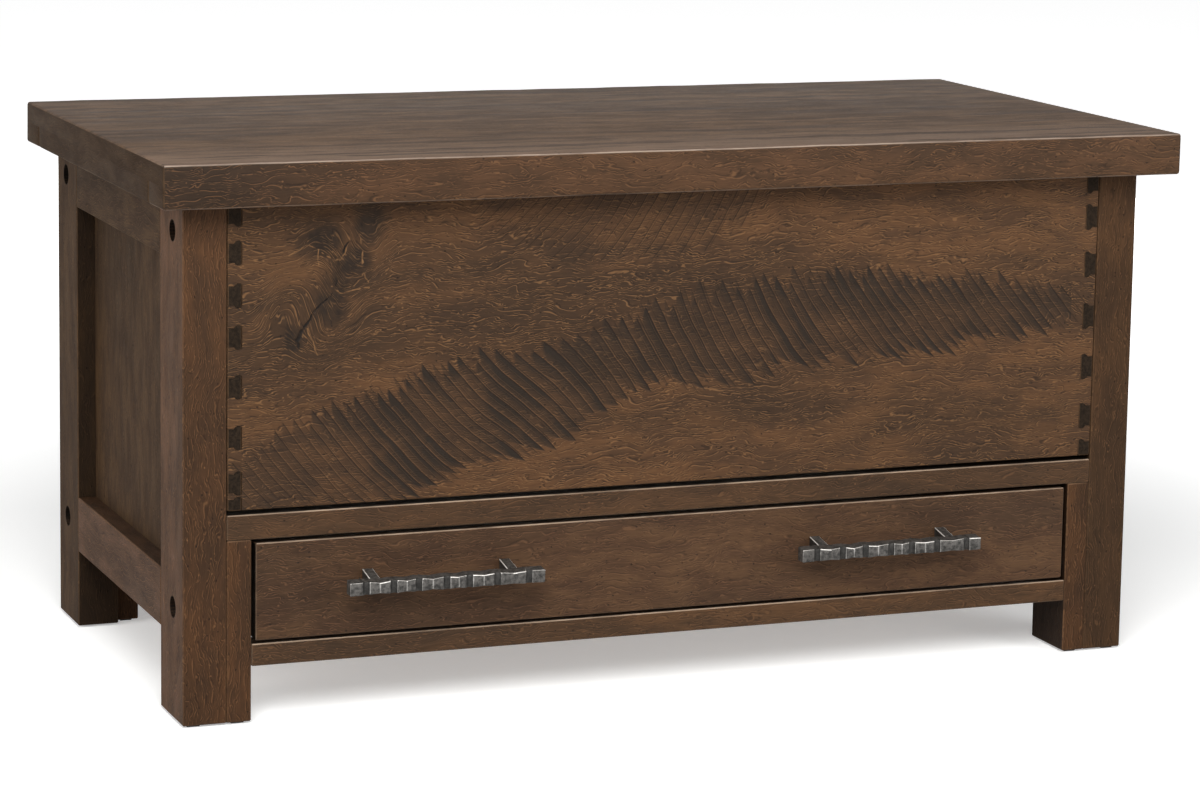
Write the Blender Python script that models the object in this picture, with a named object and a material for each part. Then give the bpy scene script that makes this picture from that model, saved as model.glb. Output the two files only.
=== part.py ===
"""A frame and panel blanket chest with a lift-up lid and one full-width drawer.

X is the width, the front faces -Y and +Z is up. The origin is on the floor, under the middle of the
lid. All sizes are in metres.
"""

import math

import bmesh
import bpy
from mathutils import Matrix, Vector

# Clearances, rounded edges and cutters
GAP = 0.0003
ARRIS = 0.0012
LID_ARRIS = 0.0025
CUT_OVERRUN = 0.004
ROUND_SIDES = 20
HINGE_SIDES = 12

# Lid
LID_WIDTH = 1.220
LID_DEPTH = 0.630
LID_PANEL_THICKNESS = 0.024
LID_STRIP_THICKNESS = 0.025
LID_STRIP_WIDTH = 0.062
LID_END_STRIP_WIDTH = 0.100
LID_SIDE_OVERHANG = 0.033
LID_FRONT_OVERHANG = 0.044
LID_BACK_OVERHANG = 0.022

# Whole height, floor to the top of the lid
CHEST_HEIGHT = 0.624

# Posts and the leg blocks beside them
POST_WIDTH = 0.049
POST_DEPTH = 0.092
LEG_BLOCK_WIDTH = 0.028
LEG_BLOCK_SETBACK = 0.014
GLIDE_PLATE_THICKNESS = 0.0010
GLIDE_PAD_THICKNESS = 0.0014
GLIDE_PAD_SIZE = 0.014
GLIDE_INSET = 0.007

# Side rails, their tenons and the pegs
SIDE_RAIL_SETBACK = 0.005
TOP_SIDE_RAIL_HEIGHT = 0.065
BOTTOM_SIDE_RAIL_HEIGHT = 0.066
BOTTOM_SIDE_RAIL_BASE = 0.094
TENON_SETBACK = 0.014
TENON_THICKNESS = 0.014
TENON_END_MARGIN = 0.018
TENON_SHOULDER = 0.010
PEG_HOLE_RADIUS = 0.0120
PEG_HOLE_FLOOR = 0.007
PEG_SETBACK = 0.0120
PEG_FROM_POST_FACE = 0.041

# End panels
PANEL_RECESS = 0.022
PANEL_THICKNESS = 0.014
PANEL_GROOVE_DEPTH = 0.008

# Front and back rails
LOWER_RAIL_BASE = 0.064
LOWER_RAIL_HEIGHT = 0.025
LOWER_RAIL_DEPTH = 0.032
DRAWER_OPENING_HEIGHT = 0.1166
MIDDLE_RAIL_HEIGHT = 0.028
MIDDLE_RAIL_DEPTH = 0.045
BACK_PANEL_THICKNESS = 0.012
BACK_PANEL_RECESS = 0.006

# Chest box
BOX_SHADOW_GAP = 0.0050
BOX_END_CLEARANCE = 0.0009
BOX_FRONT_THICKNESS = 0.018
BOX_SIDE_THICKNESS = 0.016
BOX_FLOOR_THICKNESS = 0.012
BOX_FLOOR_RAISE = 0.012
BOX_FLOOR_GROOVE_DEPTH = 0.006

# Dovetails, each corner laid out by hand: centres of the whole pins up the box, and the half pins
PIN_CENTRE_SHARES = {
    -1: (0.090, 0.239, 0.405, 0.567, 0.702, 0.840),
    1: (0.142, 0.317, 0.496, 0.679, 0.846),
}
HALF_PIN_SHARES = {-1: (0.046, 0.925), 1: (0.058, 0.929)}
PIN_HEIGHT_SHARES = {-1: 0.0794, 1: 0.0901}
PIN_EAR = 0.0034
PIN_ACROSS_SHARES = (0.0, 0.12, 0.42, 0.54, 0.68, 0.84, 1.0)
PIN_EAR_SHARES = (0.30, 0.08, 0.0, 0.62, 1.0, 0.92, 0.58)

# Drawer
DRAWER_SIDE_CLEARANCE = 0.0050
DRAWER_TOP_CLEARANCE = 0.0044
DRAWER_BOTTOM_CLEARANCE = 0.0035
DRAWER_FRONT_THICKNESS = 0.020
DRAWER_BOARD_THICKNESS = 0.013
DRAWER_BOX_RAISE = 0.010
DRAWER_BOX_DROP = 0.0136
DRAWER_BACK_CLEARANCE = 0.0457
DRAWER_BOTTOM_THICKNESS = 0.007
DRAWER_BOTTOM_RAISE = 0.009
DRAWER_GROOVE_DEPTH = 0.006

# Drawer slides: channels of bent sheet, nested
SLIDE_SHORTFALL = 0.030
SLIDE_HEIGHT = 0.045
SLIDE_THICKNESS = 0.0127
SLIDE_WALL = 0.0012
SLIDE_PLAY = 0.0006
SLIDE_CASE_LIP_MARGIN = 0.0032
SLIDE_MIDDLE_LIP_MARGIN = 0.0011
SLIDE_DRAWER_LIP_GAP = 0.0008
SLIDE_FRONT_GAP = 0.0025
CLEAT_MARGIN = 0.0035

# Bar pulls, hammered square bar on two posts; both sit a little left of an even spacing
PULL_PLACE_SHARE = 0.545
PULL_SHIFT = -0.018
PULL_LENGTH = 0.226
PULL_POST_SPACING = 0.160
PULL_BAR_HEIGHT = 0.0140
PULL_BAR_DEPTH = 0.0150
PULL_POST_SIZE = 0.0120
PULL_REACH = 0.0285
PULL_POST_DROP = 0.006
PULL_POST_BITE = 0.003
PULL_BAR_ABOVE_MIDDLE = 0.005
PULL_FLUTE_WIDTH = 0.0076
PULL_FLUTE_DEPTH = 0.0022
PULL_PINCH = 0.0014
PULL_FLUTE_SHARES = (0.082, 0.215, 0.350, 0.493, 0.612, 0.756, 0.920)

# Continuous hinge
HINGE_LENGTH = 0.936
HINGE_KNUCKLES = 9
HINGE_BARREL_RADIUS = 0.0042
HINGE_PIN_RADIUS = 0.0017
HINGE_LEAF_THICKNESS = 0.0018
HINGE_CASE_LEAF_WIDTH = 0.026
HINGE_LID_LEAF_MARGIN = 0.003
HINGE_KNUCKLE_GAP = 0.0005

# Places that follow from the sizes above
LID_UNDERSIDE = CHEST_HEIGHT - LID_PANEL_THICKNESS - LID_STRIP_THICKNESS
CASE_TOP = LID_UNDERSIDE - GAP
CASE_HALF_WIDTH = LID_WIDTH / 2 - LID_SIDE_OVERHANG
CASE_FRONT = -LID_DEPTH / 2 + LID_FRONT_OVERHANG
CASE_BACK = LID_DEPTH / 2 - LID_BACK_OVERHANG
POST_BASE = GLIDE_PAD_THICKNESS + GLIDE_PLATE_THICKNESS + GAP
POST_INNER = CASE_HALF_WIDTH - POST_WIDTH
LEG_BLOCK_DEPTH = POST_DEPTH - LEG_BLOCK_SETBACK
SIDE_RAIL_THICKNESS = POST_WIDTH - SIDE_RAIL_SETBACK
TENON_LENGTH = POST_DEPTH - TENON_END_MARGIN
PEG_HOLE_DEPTH = POST_WIDTH - PEG_HOLE_FLOOR
BLOCK_INNER = POST_INNER - LEG_BLOCK_WIDTH
LOWER_RAIL_TOP = LOWER_RAIL_BASE + LOWER_RAIL_HEIGHT
MIDDLE_RAIL_BASE = LOWER_RAIL_TOP + DRAWER_OPENING_HEIGHT
MIDDLE_RAIL_TOP = MIDDLE_RAIL_BASE + MIDDLE_RAIL_HEIGHT
BOX_BASE = MIDDLE_RAIL_TOP + BOX_SHADOW_GAP
BOX_HEIGHT = CASE_TOP - BOX_BASE
BOX_HALF_WIDTH = POST_INNER - BOX_END_CLEARANCE
TOP_SIDE_RAIL_BASE = CASE_TOP - TOP_SIDE_RAIL_HEIGHT
BOTTOM_SIDE_RAIL_TOP = BOTTOM_SIDE_RAIL_BASE + BOTTOM_SIDE_RAIL_HEIGHT
DRAWER_BASE = LOWER_RAIL_TOP + DRAWER_BOTTOM_CLEARANCE
DRAWER_TOP = MIDDLE_RAIL_BASE - DRAWER_TOP_CLEARANCE
DRAWER_HALF_WIDTH = BLOCK_INNER - DRAWER_SIDE_CLEARANCE
DRAWER_BOX_FRONT = CASE_FRONT + DRAWER_FRONT_THICKNESS + GAP
DRAWER_BOX_BASE = DRAWER_BASE + DRAWER_BOX_RAISE
DRAWER_BOX_HEIGHT = DRAWER_TOP - DRAWER_BOX_DROP - DRAWER_BOX_BASE
BACK_PANEL_FACE = CASE_BACK - BACK_PANEL_RECESS - BACK_PANEL_THICKNESS
DRAWER_BOX_LENGTH = BACK_PANEL_FACE - DRAWER_BACK_CLEARANCE - DRAWER_BOX_FRONT
PULL_SPREAD = DRAWER_HALF_WIDTH * PULL_PLACE_SHARE
SLIDE_LENGTH = DRAWER_BOX_LENGTH - SLIDE_SHORTFALL
SLIDE_FRONT = CASE_FRONT + DRAWER_FRONT_THICKNESS + SLIDE_FRONT_GAP
CLEAT_HEIGHT = SLIDE_HEIGHT + 2 * CLEAT_MARGIN
SLIDE_WALL_FACE = BLOCK_INNER - GAP
DRAWER_BOX_HALF_WIDTH = SLIDE_WALL_FACE - SLIDE_THICKNESS - GAP
SLIDE_MIDDLE_HEIGHT = DRAWER_BOX_BASE + DRAWER_BOX_HEIGHT / 2
HINGE_AXIS_Y = CASE_BACK + GAP + HINGE_BARREL_RADIUS
HINGE_AXIS_Z = LID_UNDERSIDE - GAP - HINGE_BARREL_RADIUS
HINGE_LID_LEAF_WIDTH = LID_DEPTH / 2 - HINGE_LID_LEAF_MARGIN - HINGE_AXIS_Y

SIDE_NAMES = {-1: "left", 1: "right"}
END_NAMES = {-1: "front", 1: "back"}


def clear_scene():
    """Remove whatever the file opened with."""
    for thing in list(bpy.data.objects):
        bpy.data.objects.remove(thing, do_unlink=True)


def surface(name, colour, roughness, metallic=0.0):
    """A plain material for one kind of piece."""
    material = bpy.data.materials.new(name)
    material.use_nodes = True
    shader = material.node_tree.nodes["Principled BSDF"]
    shader.inputs["Base Color"].default_value = (*colour, 1.0)
    shader.inputs["Roughness"].default_value = roughness
    shader.inputs["Metallic"].default_value = metallic
    material.diffuse_color = (*colour, 1.0)
    return material


def make_surfaces():
    """The finishes, by name."""
    return {
        "board": surface("dark_stained_board", (0.070, 0.042, 0.027), 0.55),
        "lid": surface("dark_stained_lid", (0.088, 0.062, 0.046), 0.42),
        "frame": surface("dark_stained_frame", (0.062, 0.044, 0.033), 0.52),
        "end_grain": surface("end_grain", (0.030, 0.023, 0.018), 0.65),
        "inside": surface("inner_board", (0.290, 0.190, 0.115), 0.60),
        "steel": surface("hammered_steel", (0.105, 0.108, 0.112), 0.42, 0.9),
        "zinc": surface("zinc_plate", (0.420, 0.430, 0.440), 0.35, 1.0),
        "hinge": surface("dark_hinge_steel", (0.080, 0.075, 0.070), 0.40, 0.9),
        "pad": surface("dark_pad", (0.012, 0.012, 0.012), 0.80),
    }


def pair(first, second):
    """Two bounds in rising order."""
    return min(first, second), max(first, second)


def add_object(name, mesh, centre, material=None, carrier=None):
    """Put a mesh in the scene at a world place, under the empty that carries it."""
    thing = bpy.data.objects.new(name, mesh)
    bpy.context.scene.collection.objects.link(thing)
    thing.location = centre
    if carrier is not None:
        thing.parent = carrier
        thing.location = centre - carrier.location
    if material is not None:
        mesh.materials.append(material)
    return thing


def carrier_at(name, place):
    """An empty on a joint's axis, for the pieces that move with it."""
    empty = bpy.data.objects.new(name, None)
    empty.location = place
    bpy.context.scene.collection.objects.link(empty)
    return empty


def block(name, xs, ys, zs, material=None, carrier=None, arris=ARRIS, joint_side=0):
    """A board or bar between the given bounds, with its edges eased.

    A joint side of -1 keeps the edges of the lower face sharp, and 1 those of the upper face.
    """
    centre = Vector(((xs[0] + xs[1]) / 2, (ys[0] + ys[1]) / 2, (zs[0] + zs[1]) / 2))
    size = Vector((xs[1] - xs[0], ys[1] - ys[0], zs[1] - zs[0]))
    form = bmesh.new()
    bmesh.ops.create_cube(form, size=1.0)
    bmesh.ops.scale(form, vec=size, verts=form.verts)
    if arris > 0:
        eased = [edge for edge in form.edges
                 if joint_side == 0 or any(vert.co.z * joint_side < 0 for vert in edge.verts)]
        bmesh.ops.bevel(form, geom=eased, offset=arris, segments=1, affect="EDGES")
    mesh = bpy.data.meshes.new(name)
    form.to_mesh(mesh)
    form.free()
    return add_object(name, mesh, centre, material, carrier)


def rod(name, centre, radius, length, material=None, carrier=None, sides=ROUND_SIDES):
    """A round bar along X."""
    form = bmesh.new()
    bmesh.ops.create_cone(form, cap_ends=True, segments=sides, radius1=radius, radius2=radius,
                          depth=length, matrix=Matrix.Rotation(math.pi / 2, 4, "Y"))
    mesh = bpy.data.meshes.new(name)
    form.to_mesh(mesh)
    form.free()
    mesh.shade_smooth()
    mesh.set_sharp_from_angle(angle=math.radians(40))
    return add_object(name, mesh, Vector(centre), material, carrier)


def prism(name, outlines, start, end, axis):
    """Flat outlines, each a closed run of points, extruded along X or Y between two places."""
    form = bmesh.new()
    for outline in outlines:
        if axis == "Y":
            corners = [form.verts.new((across, start, up)) for across, up in outline]
            step = Vector((0.0, end - start, 0.0))
        else:
            corners = [form.verts.new((start, across, up)) for across, up in outline]
            step = Vector((end - start, 0.0, 0.0))
        face = form.faces.new(corners)
        swept = bmesh.ops.extrude_face_region(form, geom=[face])
        moved = [item for item in swept["geom"] if isinstance(item, bmesh.types.BMVert)]
        bmesh.ops.translate(form, verts=moved, vec=step)
    bmesh.ops.recalc_face_normals(form, faces=form.faces)
    mesh = bpy.data.meshes.new(name)
    form.to_mesh(mesh)
    form.free()
    return mesh


def cutter(thing):
    """Mark an object as a tool that only cuts or joins."""
    thing.hide_render = True
    thing.display_type = "WIRE"
    return thing


def combine(thing, tool, operation="DIFFERENCE"):
    """Cut a tool out of a piece, or join it on."""
    modifier = thing.modifiers.new(operation.title(), "BOOLEAN")
    modifier.operation = operation
    modifier.object = tool
    modifier.solver = "EXACT"


def grown(bounds, by=GAP):
    """Bounds opened by a clearance at both ends."""
    return bounds[0] - by, bounds[1] + by


def post_bounds(side, end):
    """Where one corner post stands in X and Y."""
    xs = pair(side * CASE_HALF_WIDTH, side * POST_INNER)
    face = CASE_FRONT if end < 0 else CASE_BACK
    return xs, pair(face, face - end * POST_DEPTH)


def rail_heights():
    """The side rails' bounds in Z, by their names."""
    return {
        "bottom": (BOTTOM_SIDE_RAIL_BASE, BOTTOM_SIDE_RAIL_TOP),
        "top": (TOP_SIDE_RAIL_BASE, CASE_TOP),
    }


def tenon_bounds(side, level):
    """The bounds of a side rail's tenons, which are one bar from post to post."""
    zs = rail_heights()[level]
    face = side * CASE_HALF_WIDTH
    xs = pair(face - side * TENON_SETBACK, face - side * (TENON_SETBACK + TENON_THICKNESS))
    ys = (CASE_FRONT + POST_DEPTH - TENON_LENGTH, CASE_BACK - POST_DEPTH + TENON_LENGTH)
    return xs, ys, (zs[0] + TENON_SHOULDER, zs[1] - TENON_SHOULDER)


def panel_bounds(side):
    """An end panel, with its edges in the grooves."""
    face = side * (CASE_HALF_WIDTH - PANEL_RECESS)
    xs = pair(face, face - side * PANEL_THICKNESS)
    depth = PANEL_GROOVE_DEPTH
    ys = (CASE_FRONT + POST_DEPTH - depth, CASE_BACK - POST_DEPTH + depth)
    return xs, ys, (BOTTOM_SIDE_RAIL_TOP - depth, TOP_SIDE_RAIL_BASE + depth)


def make_pegs(side, end, finishes):
    """The two pegs of one post. Returns the cutters of their holes."""
    holes = []
    face = side * CASE_HALF_WIDTH
    outer = CASE_FRONT if end < 0 else CASE_BACK
    along = outer - end * PEG_FROM_POST_FACE
    for level, zs in rail_heights().items():
        height = (zs[0] + zs[1]) / 2
        mouth = face + side * CUT_OVERRUN
        bottom = face - side * PEG_HOLE_DEPTH
        name = f"{level}_{END_NAMES[end]}_{SIDE_NAMES[side]}"
        hole = rod(f"peg_hole_{name}", ((mouth + bottom) / 2, along, height), PEG_HOLE_RADIUS,
                   abs(mouth - bottom))
        holes.append(cutter(hole))
        start = face - side * PEG_SETBACK
        stop = bottom + side * GAP
        rod(f"peg_{name}", ((start + stop) / 2, along, height), PEG_HOLE_RADIUS - GAP,
            abs(start - stop), finishes["end_grain"])
    return holes


def make_frame_end(side, finishes):
    """Two posts, two tenoned rails, the end panel, the leg blocks and the pegs of one end."""
    panel = panel_bounds(side)
    groove = cutter(block(f"panel_groove_{SIDE_NAMES[side]}", *[grown(bounds) for bounds in panel],
                          arris=0))
    block(f"end_panel_{SIDE_NAMES[side]}", *panel, finishes["frame"])
    rails = {}
    mortises = {}
    for level, zs in rail_heights().items():
        tenon = tenon_bounds(side, level)
        face = side * CASE_HALF_WIDTH
        xs = pair(face, face - side * SIDE_RAIL_THICKNESS)
        ys = (CASE_FRONT + POST_DEPTH + GAP, CASE_BACK - POST_DEPTH - GAP)
        name = f"side_rail_{level}_{SIDE_NAMES[side]}"
        rail = block(name, xs, ys, zs, finishes["frame"])
        tongue = cutter(block(f"{name}_tenons", *tenon, arris=0))
        combine(rail, tongue, "UNION")
        combine(rail, groove)
        rails[level] = rail
        mortises[level] = cutter(block(f"{name}_mortises", *[grown(bounds) for bounds in tenon],
                                       arris=0))
    for end in (-1, 1):
        xs, ys = post_bounds(side, end)
        place = f"{END_NAMES[end]}_{SIDE_NAMES[side]}"
        post = block(f"post_{place}", xs, ys, (POST_BASE, CASE_TOP), finishes["frame"])
        combine(post, groove)
        for level, hole in zip(rail_heights(), make_pegs(side, end, finishes)):
            combine(post, mortises[level])
            combine(post, hole)
            combine(rails[level], hole)
        make_leg_block(side, end, place, finishes)
        make_glide(side, end, place, finishes)


def make_leg_block(side, end, place, finishes):
    """The block that thickens a leg below the middle rail."""
    xs = pair(side * (POST_INNER - GAP), side * BLOCK_INNER)
    face = CASE_FRONT if end < 0 else CASE_BACK
    ys = pair(face, face - end * LEG_BLOCK_DEPTH)
    block(f"leg_block_{place}", xs, ys, (POST_BASE, MIDDLE_RAIL_BASE - GAP), finishes["frame"])


def make_glide(side, end, place, finishes):
    """Four low pads on one thin plate, under a leg."""
    face = CASE_FRONT if end < 0 else CASE_BACK
    xs = pair(side * (CASE_HALF_WIDTH - GLIDE_INSET), side * (BLOCK_INNER + GLIDE_INSET))
    ys = pair(face - end * GLIDE_INSET, face - end * (LEG_BLOCK_DEPTH - GLIDE_INSET))
    top = GLIDE_PAD_THICKNESS + GLIDE_PLATE_THICKNESS
    plate = block(f"glide_{place}", xs, ys, (GLIDE_PAD_THICKNESS, top), finishes["pad"], arris=0)
    for x_name, x_edge, x_inward in (("outer", xs[0], 1), ("inner", xs[1], -1)):
        for y_name, y_edge, y_inward in (("near", ys[0], 1), ("far", ys[1], -1)):
            x_start = x_edge - x_inward * GAP
            y_start = y_edge - y_inward * GAP
            pad = block(f"glide_pad_{place}_{x_name}_{y_name}",
                        pair(x_start, x_start + x_inward * GLIDE_PAD_SIZE),
                        pair(y_start, y_start + y_inward * GLIDE_PAD_SIZE),
                        (0.0, GLIDE_PAD_THICKNESS + GLIDE_PLATE_THICKNESS / 2), arris=0)
            combine(plate, cutter(pad), "UNION")


def make_long_rails(finishes):
    """The front and back rails above and below the drawer, and the panel behind it."""
    for end in (-1, 1):
        face = CASE_FRONT if end < 0 else CASE_BACK
        half = POST_INNER - GAP
        block(f"{END_NAMES[end]}_middle_rail", (-half, half), pair(face, face - end * MIDDLE_RAIL_DEPTH),
              (MIDDLE_RAIL_BASE, MIDDLE_RAIL_TOP), finishes["board"])
        half = BLOCK_INNER - GAP
        block(f"{END_NAMES[end]}_lower_rail", (-half, half), pair(face, face - end * LOWER_RAIL_DEPTH),
              (LOWER_RAIL_BASE, LOWER_RAIL_TOP), finishes["board"])
    half = BLOCK_INNER - GAP
    block("back_lower_panel", (-half, half), (BACK_PANEL_FACE, BACK_PANEL_FACE + BACK_PANEL_THICKNESS),
          (LOWER_RAIL_TOP + GAP, MIDDLE_RAIL_BASE - GAP), finishes["inside"])


def pin_edges(side):
    """The dovetails of one corner, from the bottom up: each pin's lower and upper edge in Z.

    An edge is None where the half pin runs out at the board's own edge.
    """
    low_share, high_share = HALF_PIN_SHARES[side]
    edges = [(None, BOX_BASE + BOX_HEIGHT * low_share)]
    for share in PIN_CENTRE_SHARES[side]:
        centre = BOX_BASE + BOX_HEIGHT * share
        half_pin = BOX_HEIGHT * PIN_HEIGHT_SHARES[side] / 2
        edges.append((centre - half_pin, centre + half_pin))
    edges.append((BOX_BASE + BOX_HEIGHT * high_share, None))
    return edges


def eared_line(side, level, outward, play):
    """One edge of a pin, across the side board from its outer face, with the rounded ear."""
    outer = side * BOX_HALF_WIDTH
    points = []
    for across, ear in zip(PIN_ACROSS_SHARES, PIN_EAR_SHARES):
        x = outer - side * across * BOX_SIDE_THICKNESS
        points.append((x, level + outward * (play - PIN_EAR * (1.0 - ear))))
    return points


def band(side, low, high, reach_out, reach_in):
    """A closed outline between two edge lines, carried on past both faces of the side board."""
    outer = side * (BOX_HALF_WIDTH + reach_out)
    inner = side * (BOX_HALF_WIDTH - BOX_SIDE_THICKNESS - reach_in)
    lower = [(outer, low[0][1]), *low, (inner, low[-1][1])]
    upper = [(outer, high[0][1]), *high, (inner, high[-1][1])]
    return lower + upper[::-1]


def edge_line(side, level, outward, play):
    """An eared edge, or a straight one past the board's own edge where there is no level."""
    if level is not None:
        return eared_line(side, level, outward, play)
    board_edge = BOX_BASE - CUT_OVERRUN if outward < 0 else BOX_BASE + BOX_HEIGHT + CUT_OVERRUN
    outer = side * BOX_HALF_WIDTH
    inner = outer - side * BOX_SIDE_THICKNESS
    return [(outer, board_edge), (inner, board_edge)]


def socket_outlines(side):
    """What one corner's pins take out of the front or back board."""
    return [band(side, edge_line(side, low, -1, GAP), edge_line(side, high, 1, GAP), CUT_OVERRUN, GAP)
            for low, high in pin_edges(side)]


def tail_outlines(side):
    """What one corner's tails take out of the side board: the spaces between its pins."""
    edges = pin_edges(side)
    return [band(side, eared_line(side, below[1], 1, 0.0), eared_line(side, above[0], -1, 0.0),
                 CUT_OVERRUN, CUT_OVERRUN)
            for below, above in zip(edges, edges[1:])]


def make_box(finishes):
    """The dovetailed box: tails on the front and back boards, pins on the side boards."""
    zs = (BOX_BASE, CASE_TOP)
    thickness = BOX_FRONT_THICKNESS
    long_boards = {}
    for end in (-1, 1):
        face = CASE_FRONT if end < 0 else CASE_BACK
        long_boards[end] = block(f"box_{END_NAMES[end]}", (-BOX_HALF_WIDTH, BOX_HALF_WIDTH),
                                 pair(face, face - end * thickness), zs, finishes["board"])
    sides = {}
    for side in (-1, 1):
        xs = pair(side * BOX_HALF_WIDTH, side * (BOX_HALF_WIDTH - BOX_SIDE_THICKNESS))
        sides[side] = block(f"box_side_{SIDE_NAMES[side]}", xs, (CASE_FRONT, CASE_BACK), zs,
                            finishes["end_grain"])
        for end in (-1, 1):
            face = CASE_FRONT if end < 0 else CASE_BACK
            outside = face + end * CUT_OVERRUN
            corner = f"{END_NAMES[end]}_{SIDE_NAMES[side]}"
            inside = face - end * (thickness + CUT_OVERRUN)
            sockets = prism(f"sockets_{corner}", socket_outlines(side), outside, inside, "Y")
            combine(long_boards[end], cutter(add_object(sockets.name, sockets, Vector())))
            inside = face - end * (thickness + GAP)
            tails = prism(f"tails_{corner}", tail_outlines(side), outside, inside, "Y")
            combine(sides[side], cutter(add_object(tails.name, tails, Vector())))
    make_box_floor(long_boards, sides, finishes)


def make_box_floor(long_boards, sides, finishes):
    """The floor board, in a groove round the four boards."""
    depth = BOX_FLOOR_GROOVE_DEPTH
    half = BOX_HALF_WIDTH - BOX_SIDE_THICKNESS + depth
    inset = BOX_FRONT_THICKNESS - depth
    base = BOX_BASE + BOX_FLOOR_RAISE
    bounds = ((-half, half), (CASE_FRONT + inset, CASE_BACK - inset), (base, base + BOX_FLOOR_THICKNESS))
    block("box_floor", *bounds, finishes["inside"])
    groove = cutter(block("box_floor_groove", *[grown(limits) for limits in bounds], arris=0))
    for board in (*long_boards.values(), *sides.values()):
        combine(board, groove)


def channel_outline(side, wall_face, lip_end, height):
    """The section of a slide member: a web at one place and two lips that end at another."""
    half = height / 2
    inward = 1 if lip_end > wall_face else -1
    web = wall_face + inward * SLIDE_WALL
    low = SLIDE_MIDDLE_HEIGHT - half
    high = SLIDE_MIDDLE_HEIGHT + half
    points = [(wall_face, low), (lip_end, low), (lip_end, low + SLIDE_WALL), (web, low + SLIDE_WALL),
              (web, high - SLIDE_WALL), (lip_end, high - SLIDE_WALL), (lip_end, high), (wall_face, high)]
    return [(side * across, up) for across, up in points]


def make_slides(side, carriers, finishes):
    """One telescopic slide, and the cleat that carries it between the legs."""
    name = SIDE_NAMES[side]
    wall = SLIDE_WALL_FACE
    middle_web = wall - SLIDE_WALL - SLIDE_PLAY
    drawer_face = wall - SLIDE_THICKNESS
    middle_height = SLIDE_HEIGHT - 2 * (SLIDE_WALL + SLIDE_PLAY)
    drawer_height = middle_height - 2 * (SLIDE_WALL + SLIDE_PLAY)
    drawer_lip = middle_web - SLIDE_WALL - SLIDE_DRAWER_LIP_GAP
    members = (
        ("case", wall, drawer_face + SLIDE_CASE_LIP_MARGIN, SLIDE_HEIGHT, None),
        ("middle", middle_web, drawer_face + SLIDE_MIDDLE_LIP_MARGIN, middle_height, carriers[name]),
        ("drawer", drawer_face, drawer_lip, drawer_height, carriers["drawer"]),
    )
    for member, web_face, lip_end, height, carrier in members:
        outline = channel_outline(side, web_face, lip_end, height)
        mesh = prism(f"slide_{member}_member_{name}", [outline], SLIDE_FRONT,
                     SLIDE_FRONT + SLIDE_LENGTH, "Y")
        origin = Vector() if carrier is None else carrier.location.copy()
        mesh.transform(Matrix.Translation(-origin))
        add_object(mesh.name, mesh, origin, finishes["zinc"], carrier)
    outer = CASE_HALF_WIDTH - SIDE_RAIL_THICKNESS - GAP
    ys = (CASE_FRONT + POST_DEPTH + GAP, CASE_BACK - POST_DEPTH - GAP)
    half = CLEAT_HEIGHT / 2
    block(f"slide_cleat_{name}", pair(side * BLOCK_INNER, side * outer), ys,
          (SLIDE_MIDDLE_HEIGHT - half, SLIDE_MIDDLE_HEIGHT + half), finishes["inside"])


def make_drawer(carrier, finishes):
    """The drawer: its show front, and the box behind it with the bottom in a groove."""
    board = DRAWER_BOARD_THICKNESS
    half = DRAWER_BOX_HALF_WIDTH
    front = DRAWER_BOX_FRONT
    back = front + DRAWER_BOX_LENGTH
    zs = (DRAWER_BOX_BASE, DRAWER_BOX_BASE + DRAWER_BOX_HEIGHT)
    block("drawer_front", (-DRAWER_HALF_WIDTH, DRAWER_HALF_WIDTH),
          (CASE_FRONT, CASE_FRONT + DRAWER_FRONT_THICKNESS), (DRAWER_BASE, DRAWER_TOP),
          finishes["board"], carrier)
    boards = []
    for side in (-1, 1):
        xs = pair(side * half, side * (half - board))
        boards.append(block(f"drawer_side_{SIDE_NAMES[side]}", xs, (front, back), zs,
                            finishes["inside"], carrier))
    between = (-half + board + GAP, half - board - GAP)
    boards.append(block("drawer_inner_front", between, (front, front + board), zs,
                        finishes["inside"], carrier))
    boards.append(block("drawer_back", between, (back - board, back), zs, finishes["inside"], carrier))
    depth = DRAWER_GROOVE_DEPTH
    base = DRAWER_BOX_BASE + DRAWER_BOTTOM_RAISE
    reach = half - board + depth
    bounds = ((-reach, reach), (front + board - depth, back - board + depth),
              (base, base + DRAWER_BOTTOM_THICKNESS))
    block("drawer_bottom", *bounds, finishes["inside"], carrier, arris=0)
    groove = block("drawer_bottom_groove", *[grown(limits) for limits in bounds], None, carrier, arris=0)
    for piece in boards:
        combine(piece, cutter(groove))


def bar_sections():
    """The pull's bar as a list of places along it, with how far its faces draw in there."""
    half_flute = PULL_FLUTE_WIDTH / 2
    sections = [(-PULL_LENGTH / 2, 0.0, 0.0)]
    last = -PULL_LENGTH / 2
    for number, share in enumerate(PULL_FLUTE_SHARES):
        centre = PULL_LENGTH * (share - 0.5)
        if number > 0:
            sections.append(((last + centre - half_flute) / 2, 0.0, PULL_PINCH))
        sections.append((centre - half_flute, 0.0, 0.0))
        sections.append((centre - half_flute / 2, PULL_FLUTE_DEPTH, 0.0))
        sections.append((centre + half_flute / 2, PULL_FLUTE_DEPTH, 0.0))
        sections.append((centre + half_flute, 0.0, 0.0))
        last = centre + half_flute
    sections.append((PULL_LENGTH / 2, 0.0, 0.0))
    return sections


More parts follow.
